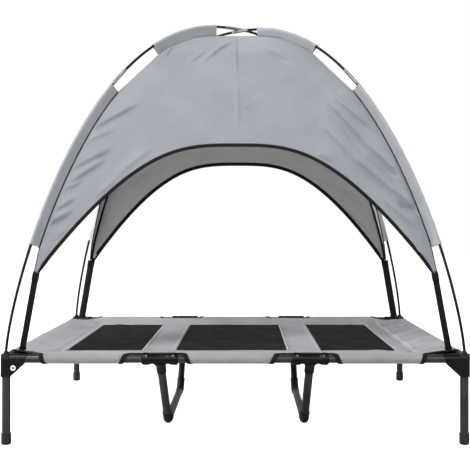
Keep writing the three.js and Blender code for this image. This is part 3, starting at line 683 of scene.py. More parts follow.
def centre_bend(before, after, count):
    """The path from a strut, round a floor bend and along the floor, seen from its own tee."""
    start = np.array((0, CENTRE_FOOT_INSET, SLEEVE_RADIUS - RAIL_Z)) - STRUT * BEND_TRIM
    centre = start + BEND_RADIUS * np.array((0, math.sin(STRUT_ANGLE), math.cos(STRUT_ANGLE)))
    angles = STRUT_ANGLE * (1 - np.linspace(0, 1, count))
    drop = -np.cos(angles) * BEND_RADIUS
    bend = np.column_stack([angles * 0, -np.sin(angles) * BEND_RADIUS, drop]) + centre
    run_in = straight(start - STRUT * before, start, 4)[:-1]
    run_out = straight(bend[-1], bend[-1] + after * ALONG_Y, 4)[1:]
    return np.vstack([run_in, bend, run_out])


def centre_leg():
    strut_length = math.hypot(RAIL_Z - SLEEVE_RADIUS, CENTRE_FOOT_INSET)
    half = centre_bend(strut_length - BEND_TRIM - TEE_SEAT, CENTRE_FOOT_Y - BEND_TRIM, 14)
    other = half[::-1] * (1, -1, 1) + (0, 2 * Y_LEG, 0)
    return pipe(np.vstack([half, other[1:]]), ALONG_X, TUBE_RADIUS, TUBE_RADIUS - TUBE_WALL)


def foot_sleeve():
    """A rubber sleeve round the floor bend, with a raised band at each end."""
    path = centre_bend(SLEEVE_TAIL, SLEEVE_TAIL, 12)
    whole = lengths_along(path)
    band = np.array((0, 1.2, 5, 6.5))
    run = np.unique(np.concatenate([band, whole[1:-1], whole[-1] - band]))
    inset = np.minimum(run, run[-1] - run)
    radii = np.where(inset < 6, SLEEVE_RADIUS, SLEEVE_RADIUS - 0.5)
    radii = np.where(inset < 0.6, SLEEVE_RADIUS - 0.9, radii)
    return pipe(resampled(path, run), ALONG_X, radii, SOCKET_BORE)


for end, side_x in ENDS.items():
    for side, side_y in LONG_SIDES.items():
        place = f"{side}_{end}"
        where = ((1, -side_y), side_x, side_y, TEE_X)
        tee = placed(tee_connector(), *where)
        node = f"tee_connector_{place}"
        piece(f"tee_{place}", tee, MOULDED_BLACK, "frame", node, slot="black_plastic", bevel=0.5)
        piece(f"tee_screws_{place}", placed(tee_screws(), *where), DULL_STEEL, "frame")
        sleeve = placed(foot_sleeve(), *where)
        node = f"centre_foot_sleeve_{place}"
        piece(f"centre_foot_{place}", sleeve, FOOT_RUBBER, "frame", node, slot="foot_rubber")
    leg = placed(centre_leg(), (1, 1), side_x, -1, TEE_X)
    node = f"centre_leg_tube_{end}"
    piece(f"centre_leg_{end}", leg, POWDER_COAT, "frame", node, slot="frame_coat")


# ---- Deck cloth: a flat pattern in (u, v), with hems that wrap right round the rails ----

CLOTH = 1.2
CLOTH_SHIFT = -12
WRAP_RADIUS = POCKET_RADIUS - CLOTH / 2
WINDOWS = {name: box_of(f"mesh_insert_{name}") for name in ("left", "middle", "right")}
WINDOWS["left"][0][0] -= 6  # the end windows are cut a little wider towards the end rails
WINDOWS["right"][1][0] += 4
DECK_DROP = DECK_TOP - WINDOWS["middle"][1][2]
END_SLOPE = 97
SIDE_SLOPE = 139
HEM_RISE = 2 * POCKET_RADIUS - DECK_DROP - 2 * CLOTH - 0.4
END_TURN = math.pi + math.atan(HEM_RISE / END_SLOPE)
SIDE_TURN = math.pi + math.atan(HEM_RISE / SIDE_SLOPE)
HEM_WIDTH = 5
END_EDGE = WRAP_RADIUS * END_TURN + END_SLOPE + HEM_WIDTH
SIDE_EDGE = WRAP_RADIUS * SIDE_TURN + SIDE_SLOPE + HEM_WIDTH
END_SEAM = X_LEG - END_SLOPE


def smooth(low, high, values):
    share = np.clip((values - low) / (high - low), 0, 1)
    return share * share * (3 - 2 * share)


def ridge(values, middle, width):
    """1 at the middle and fading out over the width on both sides."""
    return np.exp(-(((values - middle) / width) ** 2))


def line_places(x, y, start, end):
    """How far places lie along a line and off it, and the line's length."""
    run = np.subtract(end, start)
    length = math.hypot(*run)
    run = run / length
    along = (x - start[0]) * run[0] + (y - start[1]) * run[1]
    return along, (y - start[1]) * run[0] - (x - start[0]) * run[1], length


def fold(x, y, start, end, width, height, fade=0.35):
    """A crease along a line: highest on the line and fading out round it and past its ends."""
    along, off, length = line_places(x, y, start, end)
    ends = smooth(0, fade * length, along) * smooth(0, fade * length, length - along)
    return height * ridge(off, 0, width) * ends


def eased(share):
    """Rises from 0 to 1 with the share and turns level over a short rounded fold."""
    return np.clip(share, 0, 1) - 0.03 * ridge(share, 1, 0.06)


def deck_drop(x, y):
    """How far the taut deck lies below the tops of its rails."""
    lengthwise = eased((X_LEG - np.abs(x)) / END_SLOPE)
    crosswise = eased((Y_LEG - np.abs(y)) / SIDE_SLOPE)
    return DECK_DROP * lengthwise * crosswise


# Waves across an end slope: place at the pocket seam, place at the end rail, width, height.
END_WAVES = (
    (-330, -300, 24, 1.5),
    (-262, -240, 17, -1.6),
    (-180, -150, 26, 2.0),
    (-96, -70, 18, -1.5),
    (-20, 20, 27, 1.9),
    (96, 110, 20, -1.7),
    (170, 200, 28, 1.7),
    (262, 290, 20, -1.5),
    (330, 350, 22, 1.3),
)


def end_slope_relief(u, v):
    """Soft waves that run from a pocket seam out to the end rail, deeper on the right."""
    relief = np.zeros_like(u)
    near, far = END_SEAM - 22, X_LEG + 9
    for inner, outer, width, height in END_WAVES:
        relief += fold(u, v, (near, inner), (far, outer), width, height * 4.6, 0.45)
        relief += fold(u, v, (-near, inner + 30), (-far, outer + 36), width, height * 1.5, 0.45)
    for end, rise, dip in ((1, 1.8, 4.6), (-1, 0.6, 1.1)):
        relief += rise * ridge(u * end, END_SEAM + 3, 5) - dip * ridge(u * end, END_SEAM - 14, 10)
    return relief * smooth(Y_LEG - 30, Y_LEG - 110, np.abs(v))


def corner_relief(u, v, side_x, side_y):
    """A corner pulled up in front or down at the back, and the folds that run from it."""
    corner = np.array((side_x * (X_LEG - 52) + CLOTH_SHIFT, side_y * (Y_LEG - 42)))
    rise = 1.8 if side_y < 0 else -4.5
    relief = rise * ridge(u, corner[0], 46) * ridge(v, corner[1], 34)
    for turn, reach, height in ((0.15, 190, 1.1), (0.62, 250, 1.6), (1.1, 170, 1.1)):
        way = np.array((-side_x * math.cos(turn), -side_y * math.sin(turn)))
        relief += fold(u, v, corner + way * 10, corner + way * reach, 10, height)
        relief -= fold(u, v, corner + way * 20 + 16, corner + way * reach + 18, 9, 0.7 * height)
    return relief


def tee_relief(u, v, side_y, tee_x):
    """Short folds that fan out from a tee cut-out."""
    relief = 0
    for lean, reach in ((-1, 70), (-0.4, 50), (0.5, 60), (1, 80)):
        start = (tee_x + lean * 60 + CLOTH_SHIFT, side_y * (Y_LEG - 24))
        end = (start[0] + lean * 46, side_y * (Y_LEG - 34 - reach))
        relief += fold(u, v, start, end, 7, 1.0)
    return relief


def deck_relief(u, v):
    """Pulls, puckers and hems of the deck, in millimetres above its taut surface."""
    relief = end_slope_relief(u, v)
    for corner in CORNERS.values():
        relief += corner_relief(u, v, *corner)
    for side_y in (-1, 1):
        for tee_x in (-TEE_X, TEE_X):
            relief += tee_relief(u, v, side_y, tee_x)
    inboard = np.minimum(X_LEG - np.abs(u), Y_LEG - np.abs(v))
    # The strips between the windows wrinkle across; the hems pucker; all of it is a little uneven.
    strip = np.abs(np.abs(u - CLOTH_SHIFT) - TEE_X)
    drawn = np.sin(v / 8.4 + 1.3 * np.sin(u / 39 + 1) + 1.5 * np.sin(v / 57))
    relief += (1.1 + 0.6 * np.sin(v / 53 + u / 40)) * drawn * smooth(56, 36, strip) * (inboard > 40)
    pucker = np.sin(u / 6.3 + 2 * np.sin(v / 41)) * np.sin(v / 7.1 + 2 * np.sin(u / 37))
    relief += 0.16 * pucker * smooth(150, 90, inboard)
    relief += 0.5 * np.sin(u / 47 + 1.7 * np.sin(v / 90)) * np.sin(v / 63 + np.sin(u / 71))
    # A seam sinks in along each side slope, and each window's hem stands up.
    relief -= 0.6 * ridge(np.abs(v), Y_LEG - SIDE_SLOPE, 1.8) * (np.abs(u) < X_LEG - 90)
    for low, high in WINDOWS.values():
        gap_u = np.maximum(low[0] + CLOTH_SHIFT - u, u - high[0] - CLOTH_SHIFT)
        gap_v = np.maximum(low[1] - v, v - high[1])
        outside = np.hypot(np.maximum(gap_u, 0), np.maximum(gap_v, 0))
        relief += 0.9 * smooth(7.6, 6.4, outside)
    return relief


def wrapped(over, radius, turn_limit):
    """How far out and up from the rail axis the cloth is, over millimetres past its top."""
    over = np.maximum(over, 0)
    turn = np.minimum(over / WRAP_RADIUS, turn_limit)
    rest = np.maximum(over - WRAP_RADIUS * turn_limit, 0)
    outward = radius * np.sin(turn) + rest * math.cos(turn_limit)
    upward = radius * np.cos(turn) - rest * math.sin(turn_limit)
    return outward, upward


def deck_point(u, v, lift=0.0):
    """A place on the flat pattern, carried to the bed; lift is measured off the cloth."""
    u = np.asarray(u, float)
    v = np.asarray(v, float)
    x = np.clip(u, -X_LEG, X_LEG)
    y = np.clip(v, -Y_LEG, Y_LEG)
    over_x = np.abs(u) - X_LEG
    over_y = np.abs(v) - Y_LEG
    past_end = over_x >= over_y
    height = lift + deck_relief(u, v) * smooth(14, -4, np.maximum(over_x, over_y))
    radius = POCKET_RADIUS + height
    end_out, end_up = wrapped(over_x, radius, END_TURN)
    side_out, side_up = wrapped(over_y, radius, SIDE_TURN)
    x = x + np.sign(u) * np.where(past_end, end_out, 0)
    y = y + np.sign(v) * np.where(past_end, 0, side_out)
    inside_x = np.where(over_x > 0, X_LEG, np.abs(u))
    inside_y = np.where(over_y > 0, Y_LEG, np.abs(v))
    z = RAIL_Z + np.where(past_end, end_up, side_up) - deck_drop(inside_x, inside_y)
    return np.stack([x, y, z], axis=-1)


CORNER_CUT = (97, 65)  # where the corner's edge crosses the rails, along X and along Y


def corner_edge():
    """One corner's cut edge in corner axes (inboard along X, inboard along Y)."""
    start, end = CORNER_CUT
    bow = []
    for t in np.linspace(0, 1, 16)[1:-1]:
        pull = 2 * t * (1 - t)
        bow.append(((1 - t) ** 2 * start + pull * 52, pull * 49 + t * t * end))
    first = [(112, -SIDE_EDGE), (112, -50), (101, -14), (start, 0)]
    return first + bow + [(0, end), (-14, 69), (-50, 80), (-END_EDGE, 80)]


def tee_edge():
    """A tee cut-out's closed edge about the tee axis, from above the rail to under it."""
    right = arc((66, 17), 9, 90, 10, 6) + [(78, 4), (84, -10), (96, -38), (100, -50)]
    right += arc((88, -72), 12, 0, -90, 6)
    return right + [(-x, y) for x, y in right[::-1]]


def deck_outline():
    """The cut edge of the whole flat pattern, corner by corner."""
    runs = []
    for side_x, side_y in ((-1, -1), (1, -1), (1, 1), (-1, 1)):
        edge = []
        for p, q in corner_edge():
            shift = CLOTH_SHIFT * min(max(p / CORNER_CUT[0], 0), 1) * (side_x < 0)
            edge.append((side_x * (X_LEG - p) + shift, side_y * (Y_LEG - q)))
        runs.append(edge if side_x * side_y < 0 else edge[::-1])
    return runs


def tee_holes():
    holes = []
    for side_y in (-1, 1):
        for tee in (-TEE_X, TEE_X):
            hole = [(tee + CLOTH_SHIFT + x, side_y * (Y_LEG - q)) for x, q in tee_edge()]
            holes.append(np.array(hole if side_y < 0 else hole[::-1])[::-1])
    return holes


def spaced(points, pitch):
    """Points at an even pitch along an open line, its ends kept."""
    points = np.asarray(points, float)
    length = lengths_along(points)[-1]
    return resampled(points, np.linspace(0, length, max(2, round(length / pitch) + 1)))


def closed_run(loop, pitch):
    return spaced(looped(loop), pitch)[:-1]


def beside(run, inset):
    """A run moved over to its left."""
    tangent = unit(np.gradient(run, axis=0))
    return run + inset * np.column_stack([-tangent[:, 1], tangent[:, 0]])


def inside(loop, points):
    """Which points lie inside a closed loop."""
    x, y = points[:, 0], points[:, 1]
    found = np.zeros(len(points), bool)
    for (x0, y0), (x1, y1) in zip(loop, np.roll(loop, -1, axis=0)):
        if y0 == y1:
            continue
        crosses = (y0 > y) != (y1 > y)
        found ^= crosses & (x < (x1 - x0) * (y - y0) / (y1 - y0) + x0)
    return found


def window_edge(name, grow=0.0):
    low, high = WINDOWS[name]
    x0, y0 = low[0] - grow + CLOTH_SHIFT, low[1] - grow
    x1, y1 = high[0] + grow + CLOTH_SHIFT, high[1] + grow
    return np.array([(x0, y0), (x1, y0), (x1, y1), (x0, y1)])


def stations(half, slope, edge):
    """Grid lines across the pattern: close together over the rails, wider on the deck."""
    flat = np.linspace(0, half - slope - 14, 36)
    fold_line = half - slope + np.array((-9, -5, -2, 0, 2, 5, 9))
    sloping = np.arange(half - slope + 16, half - 8, 8)
    over_rail = np.arange(half - 4, half + math.pi * WRAP_RADIUS + 8, 3.2)
    under = np.arange(half + math.pi * WRAP_RADIUS + 16, half + edge - 3, 14)
    places = np.concatenate([flat, fold_line, sloping, over_rail, under])
    return np.concatenate([-places[:0:-1], places])


def cloth_pattern():
    """Points and triangles of the flat deck, finer at its rails, hems and edges."""
    outline = closed_run(np.vstack(deck_outline()), 5)
    holes = [closed_run(hole, 4.5) for hole in tee_holes()]
    openings = holes + [closed_run(window_edge(name), 6) for name in WINDOWS]
    loops = [outline, *openings]
    for name in WINDOWS:
        loops += [closed_run(window_edge(name, grow), 6) for grow in (6.3, 7.8)]
    points = [tuple(point) for point in np.vstack(loops)]
    edges = []
    start = 0
    for loop in loops:
        count = len(loop)
        edges += [(start + i, start + (i + 1) % count) for i in range(count)]
        start += count
    near = KDTree(len(points))
    for i, (x, y) in enumerate(points):
        near.insert((x, y, 0), i)
    near.balance()
    u, v = np.meshgrid(stations(X_LEG, END_SLOPE, END_EDGE), stations(Y_LEG, SIDE_SLOPE, SIDE_EDGE))
    grid = np.column_stack([u.ravel(), v.ravel()])
    grid = grid[inside(outline, grid)]
    for opening in openings:
        grid = grid[~inside(opening, grid)]
    points += [(x, y) for x, y in grid if near.find((x, y, 0))[2] > 1.6]
    made = delaunay_2d_cdt([Vector(point) for point in points], edges, [], 1, 1e-4)
    flat = np.array([tuple(point) for point in made[0]])
    triangles = np.array([tuple(face) for face in made[2]])
    centres = flat[triangles].mean(1)
    kept = inside(outline, centres)
    for opening in openings:
        kept &= ~inside(opening, centres)
    return flat, triangles[kept]


def cloth_area(form):
    """The area of a form's faces on the flat cloth, in square metres."""
    total = 0
    for face in form.cloth:
        across, along = np.array(face).T
        total += abs(np.dot(across, np.roll(along, 1)) - np.dot(along, np.roll(across, 1))) / 2
    return float(total) * MM * MM


def cloth_form(flat, triangles, points):
    faces = [tuple(int(i) for i in face) for face in triangles]
    return Form().add(points, faces, [tuple(tuple(flat[i]) for i in face) for face in faces])


def woven_finish(name, base, pale, yarn, relief, roughness=0.8, gloss=0.25):
    """Coated oxford: a fine basket weave, soft blotches and slubs along both yarns."""
    look = Look(name, roughness, gloss=gloss, sheen=0.05)
    place, across, along = look.cloth_place()
    warp = (across * (math.pi / yarn)).sine()
    weft = (along * (math.pi / yarn)).sine()
    weave = (warp * weft) * 0.5 + 0.5
    slub = look.noise(place, 7, 2, 0.6, (9, 0.35, 1)) + look.noise(place, 7, 2, 0.6, (0.35, 9, 1))
    blotch = look.noise(place, 130, 3, 0.55)
    dust = look.noise(place, 3, 3, 0.7)
    tone = blotch.ramp(0.3, 0.7) * 0.45 + slub * 0.2 + weave * 0.12 + dust * 0.12
    colour = look.tint(tone, base, pale)
    roughness = blotch * 0.12 + slub * 0.06 + (roughness - 0.12)
    return look.finished(colour, roughness, weave + slub * 0.5, relief)


MESH_PITCH = 1.6


def mesh_finish(name, base, pale):
    """Open coated mesh: a grid of dark yarns, painted a little paler as a faint sheen, over darker holes.
    """
    look = Look(name, 0.6, gloss=0.03)
    place, across, along = look.cloth_place()
    warp, weft = ((way * (math.pi / MESH_PITCH)).sine().size() for way in (across, along))
    yarns = warp.highest(weft)
    streaks = look.noise(place, 26, 3, 0.6, (5, 0.4, 1))
    blotch = look.noise(place, 90, 2)
    tone = yarns * 0.3 + streaks.ramp(0.48, 0.8) * 0.6 + blotch.ramp(0.35, 0.7) * 0.35 - 0.1
    colour = look.tint(tone, base, pale)
    return look.finished(colour, streaks * 0.2 + yarns * 0.1 + 0.4, yarns, 0.25)


def band_finish(name, base, pale, rib, relief):
    """Woven tape: ribs across it and a little fluff."""
    look = Look(name, 0.75, gloss=0.12, sheen=0.02)
    place, _, along = look.cloth_place()
    ribs = (along * (math.pi / rib)).sine().size()
    fluff = look.noise(place, 2.5, 3, 0.7)
    broad = look.noise(place, 45, 2)
    colour = look.tint(ribs * 0.4 + fluff * 0.3 + broad * 0.3, base, pale)
    return look.finished(colour, fluff * 0.2 + 0.62, ribs + fluff * 0.4, relief)


DECK_CLOTH = woven_finish("deck_oxford", (144, 144, 148), (172, 173, 177), 0.9, 0.12, 0.6, 0.4)
MESH_CLOTH = mesh_finish("mesh_weave", (11, 11, 12), (50, 50, 52))
BINDING = band_finish("binding_tape", (12, 12, 13), (30, 30, 32), 0.8, 0.1)
THREAD = hard_finish("thread", (150, 151, 154), (190, 191, 194), 0.7, 0.6, 0.05)
DARK_THREAD = hard_finish("dark_thread", (20, 20, 21), (60, 60, 62), 0.7, 0.6, 0.05)

deck_flat, deck_triangles = cloth_pattern()
deck_form = cloth_form(deck_flat, deck_triangles, deck_point(*deck_flat.T))
deck = cloth_piece("deck_sheet", deck_form, DECK_CLOTH, "frame", ["deck_fabric"], "deck_fabric", CLOTH)

INSERT_SEAM = 6
INSERT_DROP = CLOTH + 1  # the inserts lie under the deck cloth


def mesh_insert(low, high):
    """A mesh panel sewn under the hem of its window."""
    us = np.linspace(low[0] - INSERT_SEAM, high[0] + INSERT_SEAM, 40) + CLOTH_SHIFT
    vs = np.linspace(low[1] - INSERT_SEAM, high[1] + INSERT_SEAM, 90)
    u, v = np.meshgrid(us, vs, indexing="ij")
    return loft(deck_point(u, v, -INSERT_DROP), closed=False, caps=False)


for name, (low, high) in WINDOWS.items():
    insert = mesh_insert(low, high)
    nodes = [f"mesh_insert_{name}"]
    made = cloth_piece(f"insert_{name}", insert, MESH_CLOTH, "frame", nodes, "mesh_fabric", 0.8)


def edge_binding(run, width=10.5):
    """A tape folded over a cut edge: over the top, round the edge and back underneath."""
    run = spaced(run, 4)
    section = [(width, 0.5), (width - 1, 0.9), (width * 0.5, 1.1), (0, 1.1), (-1.4, 0.3), (-1.7, -0.6)]
    section += [(-1.4, -1.5), (0, -2.3), (width * 0.5, -2.3), (width - 1, -2.1), (width, -1.7)]
    rings = [deck_point(*beside(run, inset).T, lift) for inset, lift in section]
    return loft(np.array(rings).transpose(1, 0, 2))


binding_form = Form()
for run in deck_outline():
    binding_form.join(edge_binding(run[1:-1]))
for hole in tee_holes():
    binding_form.join(edge_binding(looped(np.roll(hole, len(hole) // 4, axis=0))))
deck_binding = piece("deck_binding", binding_form, BINDING, "frame", sharp=50)


STITCH_PITCH = 5.5
STITCH_LENGTH = 4.0
THREAD_RADIUS = 0.42
ROW_INSET = 33  # from a rail's axis to the row that closes its pocket
ROW_ENDS = (106, 84)  # where the long and the short rows stop, from the corner's rail axes
TAPE_ROW = 8.2
TAPE_CLEAR = 11


def stitches(run, place_of, allowed=None):
    """A row of short threads along a run of flat places, each dipping into the cloth."""
    run = spaced(run, STITCH_PITCH)
    middles = (run[1:] + run[:-1]) / 2
    ways = unit(run[1:] - run[:-1])
    if allowed is not None:
        kept = allowed(middles)
        middles, ways = middles[kept], ways[kept]
    sides = np.column_stack([-ways[:, 1], ways[:, 0]])
    ring = circle(THREAD_RADIUS, 6)
    shares = np.array((-0.5, -0.3, 0, 0.3, 0.5)) * STITCH_LENGTH
    lifts = np.array((-0.5, 0.25, 0.45, 0.25, -0.5))
    sizes = np.array((0.5, 1, 1, 1, 0.5))
    flat = middles[:, None, None] + shares[:, None, None] * ways[:, None, None]
    flat = flat + (sizes[:, None] * ring[:, 0])[..., None] * sides[:, None, None]
    lift = lifts[:, None] + sizes[:, None] * ring[:, 1]
    points = place_of(flat[..., 0], flat[..., 1], np.broadcast_to(lift, flat.shape[:3]))
    return Form().join(*(loft(rings) for rings in points))


def on_cloth(places):
    """Which flat places lie on the deck cloth, clear of its bound edges."""
    found = inside(np.vstack(deck_outline()), places)
    for hole in tee_holes():
        found &= ~inside(hole, places)
        gaps = np.linalg.norm(places[:, None] - closed_run(hole, 6)[None], axis=2).min(1)
        found &= gaps > TAPE_CLEAR
    return found


seams = Form()
for name in WINDOWS:
    seams.join(stitches(looped(window_edge(name, 4.2)), deck_point))
for side in (-1, 1):
    long_row = [(end * (X_LEG - ROW_ENDS[0]), side * (Y_LEG - ROW_INSET)) for end in (-1, 1)]
    short_row = [(side * (X_LEG - ROW_INSET), end * (Y_LEG - ROW_ENDS[1])) for end in (-1, 1)]
    for row in (long_row, short_row):
        seams.join(stitches(row, deck_point, allowed=on_cloth))
deck_stitches = piece("deck_stitches", seams, THREAD, "frame", sharp=0)

tape_stitches = Form()
for run in deck_outline():
    row = beside(spaced(run[1:-1], 5), TAPE_ROW)
    tape_stitches.join(stitches(row, lambda u, v, lift: deck_point(u, v, lift + 0.8)))
binding_stitches = piece("deck_binding_stitches", tape_stitches, DARK_THREAD, "frame", sharp=0)

cloth_area(deck_form)


# ---- Canopy: arches in the plane of a pole, by their angle from foot (0) to crest (90 degrees) ----

POLE_RADIUS = 3.75
POLE_BASE = RAIL_Z + 20
POLE_RISE = 943
POLE_OFFSET = 4.05
POLE_SHOULDER = 2.27
SEAM_OFFSET = 24
SLEEVE_OUTER = 5.5
TIP_HEIGHT = 445
TIP_DROP = 9
TIP_PULL = 5
ARCH_RISE = 347
ARCH_TIP_START = 0.963
ARCH_SQUARENESS = 3.2
TIP_WIDENING = 0.0074
TIP_POINT = (0.973, 0.992)
TIP_CURL = 1.6
CREST_REACH = 2.5
SPAN = X_LEG / DIAGONAL
DEPTH = Y_LEG / DIAGONAL
ANGLES = np.linspace(0, math.pi / 2, 1201)
POLES = {"upper": ("front_left", "back_right"), "lower": ("back_left", "front_right")}
POLE_RISES = {"upper": POLE_RISE + POLE_OFFSET, "lower": POLE_RISE - POLE_OFFSET}
QUARTERS = {quarter: pole for pole, quarters in POLES.items() for quarter in quarters}


def arch_line(rise):
    """Reach from the middle and height of a quarter arch, foot first, at each of ANGLES."""
    reach = DIAGONAL * np.maximum(np.cos(ANGLES), 0) ** (2 / POLE_SHOULDER)
    height = POLE_BASE + rise * np.maximum(np.sin(ANGLES), 0) ** 1.5
    return np.column_stack([reach, height])


def outward_of(line):
    tangent = unit(np.gradient(line, axis=0))
    return np.column_stack([tangent[:, 1], -tangent[:, 0]])


CREST_Z = POLE_BASE + POLE_RISE
LOWER_SLEEVE = (CREST_Z - 218, TIP_HEIGHT + 75)
UPPER_SLEEVE_DROP = 90
UPPER_SLEEVE_REACH = 82
MEAN_ARCH = arch_line(POLE_RISE)


def seam_line():
    """The line where two panels meet, straight between the sleeves and drawn in at the strap."""
    seam = MEAN_ARCH - SEAM_OFFSET * outward_of(MEAN_ARCH)
    height = MEAN_ARCH[:, 1]
    free = (height > LOWER_SLEEVE[0] - 6) & (height < CREST_Z - UPPER_SLEEVE_DROP + 4)
    ends = seam[free][[0, -1]]
    share = np.linspace(0, 1, free.sum())[:, None]
    seam[free] = ends[0] + (ends[1] - ends[0]) * share
    seam[:, 0] -= TIP_PULL * (1 - smooth(TIP_HEIGHT, LOWER_SLEEVE[1], seam[:, 1]))
    return seam


SEAM = seam_line()
SEAM_RUN = lengths_along(SEAM)
SEAM_TOP = np.interp(-CREST_REACH, -SEAM[:, 0], SEAM_RUN)


def doorway_height(side, sag):
    """The doorway's edge: a squared arch, then the point that is drawn down into the strap."""
    side = np.abs(side) * (1 - TIP_WIDENING * smooth(0.88, 0.97, np.abs(side)))
    share = np.minimum(side / ARCH_TIP_START, 1)
    point = np.clip((side - ARCH_TIP_START) / 0.008, 0, 1) - TIP_CURL * smooth(*TIP_POINT, side)
    return TIP_HEIGHT - TIP_DROP * point + (ARCH_RISE - sag) * (1 - share**ARCH_SQUARENESS)


def crease(x, z, start, end, width, height):
    """A fold with a crest, one steep flank below it and one long flank above."""
    along, off, length = line_places(x, z, start, end)
    flank = np.where(off > 0, 1.7, 0.7) * width
    ends = smooth(-6, 0.35 * length, along) * smooth(-6, 0.35 * length, length - along)
    return height * np.exp(-((np.abs(off) / flank) ** 1.5)) * ends


# Each panel's share of a seam's reach along its width and its depth, and its axes on the bed.
PANELS = {
    "front": (SPAN, DEPTH, ((1, 0), (0, 1))),
    "right": (DEPTH, SPAN, ((0, 1), (-1, 0))),
    "back": (SPAN, DEPTH, ((-1, 0), (0, -1))),
    "left": (DEPTH, SPAN, ((0, -1), (1, 0))),
}
PANEL_BOW = 8
DOORWAY_SAG = {"front": 2, "right": 4, "back": 8, "left": 4}

# Folds of the front panel: two ends as (across, height), then width and height of the fold.
FRONT_FOLDS = (
    (-415, 830, -260, 925, 8.5, 8.5),
    (-420, 800, -335, 840, 7.5, 4.5),
    (-450, 725, -340, 785, 8.5, 9.5),
    (-465, 680, -355, 755, 8.5, 8.5),
    (-470, 665, -420, 690, 5.5, 5),
    (-490, 610, -435, 645, 6.5, 7.5),
    (-505, 575, -440, 610, 6.5, 8.5),
    (-330, 705, -225, 790, 10.5, 4.5),
    (-385, 645, -315, 705, 9.5, 4),
    (-485, 540, -450, 560, 5.5, 3.5),
    (-210, 1065, -185, 1105, 4, 6),
    (-220, 1065, -200, 1095, 4, 4.5),
    (-140, 1045, -90, 1085, 5, 4.5),
    (-110, 1040, -15, 1120, 5, 5),
    (-80, 1065, -10, 1125, 5, 4),
    (-5, 1140, 0, 1010, 2.5, 8),
    (0, 1010, 5, 835, 2.5, 5.5),
    (-100, 960, 0, 880, 3, 2),
    (30, 1115, 170, 1030, 5, -7.5),
    (60, 1110, 190, 1040, 6.5, 5),
    (0, 890, 90, 940, 3, 2),
    (85, 940, 110, 925, 3, 1.5),
    (240, 940, 375, 780, 8.5, 15),
    (355, 805, 460, 695, 9.5, 13.5),
    (250, 955, 400, 820, 8.5, 12),
    (290, 960, 350, 910, 7.5, 6.5),
    (230, 865, 330, 750, 12.5, 11),
    (310, 770, 430, 665, 13.5, 14.5),
    (405, 685, 495, 610, 9.5, 13.5),
    (225, 770, 265, 750, 7.5, 7.5),
    (435, 700, 465, 685, 5, 6.5),
    (450, 675, 470, 665, 5, 6),
    (380, 660, 500, 555, 11.5, 6.5),
    (290, 845, 370, 750, 9.5, -6.5),
    (355, 765, 450, 685, 9.5, -7.5),
    (430, 630, 500, 600, 6.5, -10),
)

# Folds of the other three panels, as shares of the half span, with heights.
OTHER_FOLDS = (
    (-0.97, 640, -0.6, 760, 8.5, 6),
    (-0.95, 720, -0.55, 830, 9.5, 7),
    (-0.93, 560, -0.72, 640, 7.5, 5),
    (-0.9, 850, -0.4, 930, 10.5, 5.5),
    (0.97, 600, 0.62, 720, 8.5, 6),
    (0.94, 690, 0.5, 840, 10.5, 7.5),
    (0.9, 820, 0.42, 950, 9.5, 6),
    (0.95, 540, 0.75, 610, 6.5, 4.5),
    (-0.02, 1140, 0.01, 1010, 3, 3.5),
    (-0.3, 1040, -0.05, 1120, 5.5, 3),
    (0.08, 1115, 0.36, 1030, 5.5, -3.5),
    (-0.2, 960, 0.05, 880, 5, 2),
    (-0.55, 880, -0.2, 830, 13.5, 4),
    (0.25, 880, 0.6, 800, 13.5, 4),
)


def panel_relief(panel, x, z, side):
    """Folds and soft unevenness of a panel, in millimetres outwards."""
    number = list(PANELS).index(panel)
    # Broad and fine unevenness, then the gathers beside a seam.
    relief = 0.7 * np.sin(x / 61 + 1.9 * np.sin(z / 83 + number)) * np.sin(z / 74 + number)
    relief += 0.2 * np.sin(x / 17 + 2.1 * np.sin(z / 29)) * np.sin(z / 19 + 1.3 * np.sin(x / 37))
    near_seam = np.exp(-(1 - np.abs(side)) * 14)
    relief += near_seam * 0.9 * np.sin(z / 9.5 + 1.6 * np.sin(z / 43 + number))
    if panel == "front":
        for x0, z0, x1, z1, width, height in FRONT_FOLDS:
            relief += crease(x, z, (x0, z0), (x1, z1), width, height)
        return relief
    span = PANELS[panel][0] * DIAGONAL
    mirror = -1 if panel == "left" else 1
    for share0, z0, share1, z1, width, height in OTHER_FOLDS:
        ends = []
        for share, z_end in ((share0, z0), (share1, z1)):
            reach = np.interp(z_end, SEAM[:, 1], SEAM[:, 0]) / DIAGONAL
            ends.append((mirror * share * reach * span, z_end))
        relief += crease(x, z, ends[0], ends[1], width, height)
    return relief


def seam_at(run):
    """Reach and height of the seam at lengths along it."""
    return np.interp(run, SEAM_RUN, SEAM[:, 0]), np.interp(run, SEAM_RUN, SEAM[:, 1])


def panel_point(panel, side, run):
    """A place on a taut panel: side from -1 to 1 across it, run along the seams."""
    span, depth, _ = PANELS[panel]
    reach, height = seam_at(run)
    bow = PANEL_BOW * (1 - side**2) * reach / DIAGONAL
    return np.stack([side * reach * span, bow - reach * depth, height], axis=-1)


def to_bed(panel, points):
    """Turns a panel's own axes to its side of the bed."""
    turn = np.eye(3)
    turn[:2, :2] = PANELS[panel][2]
    return points @ turn


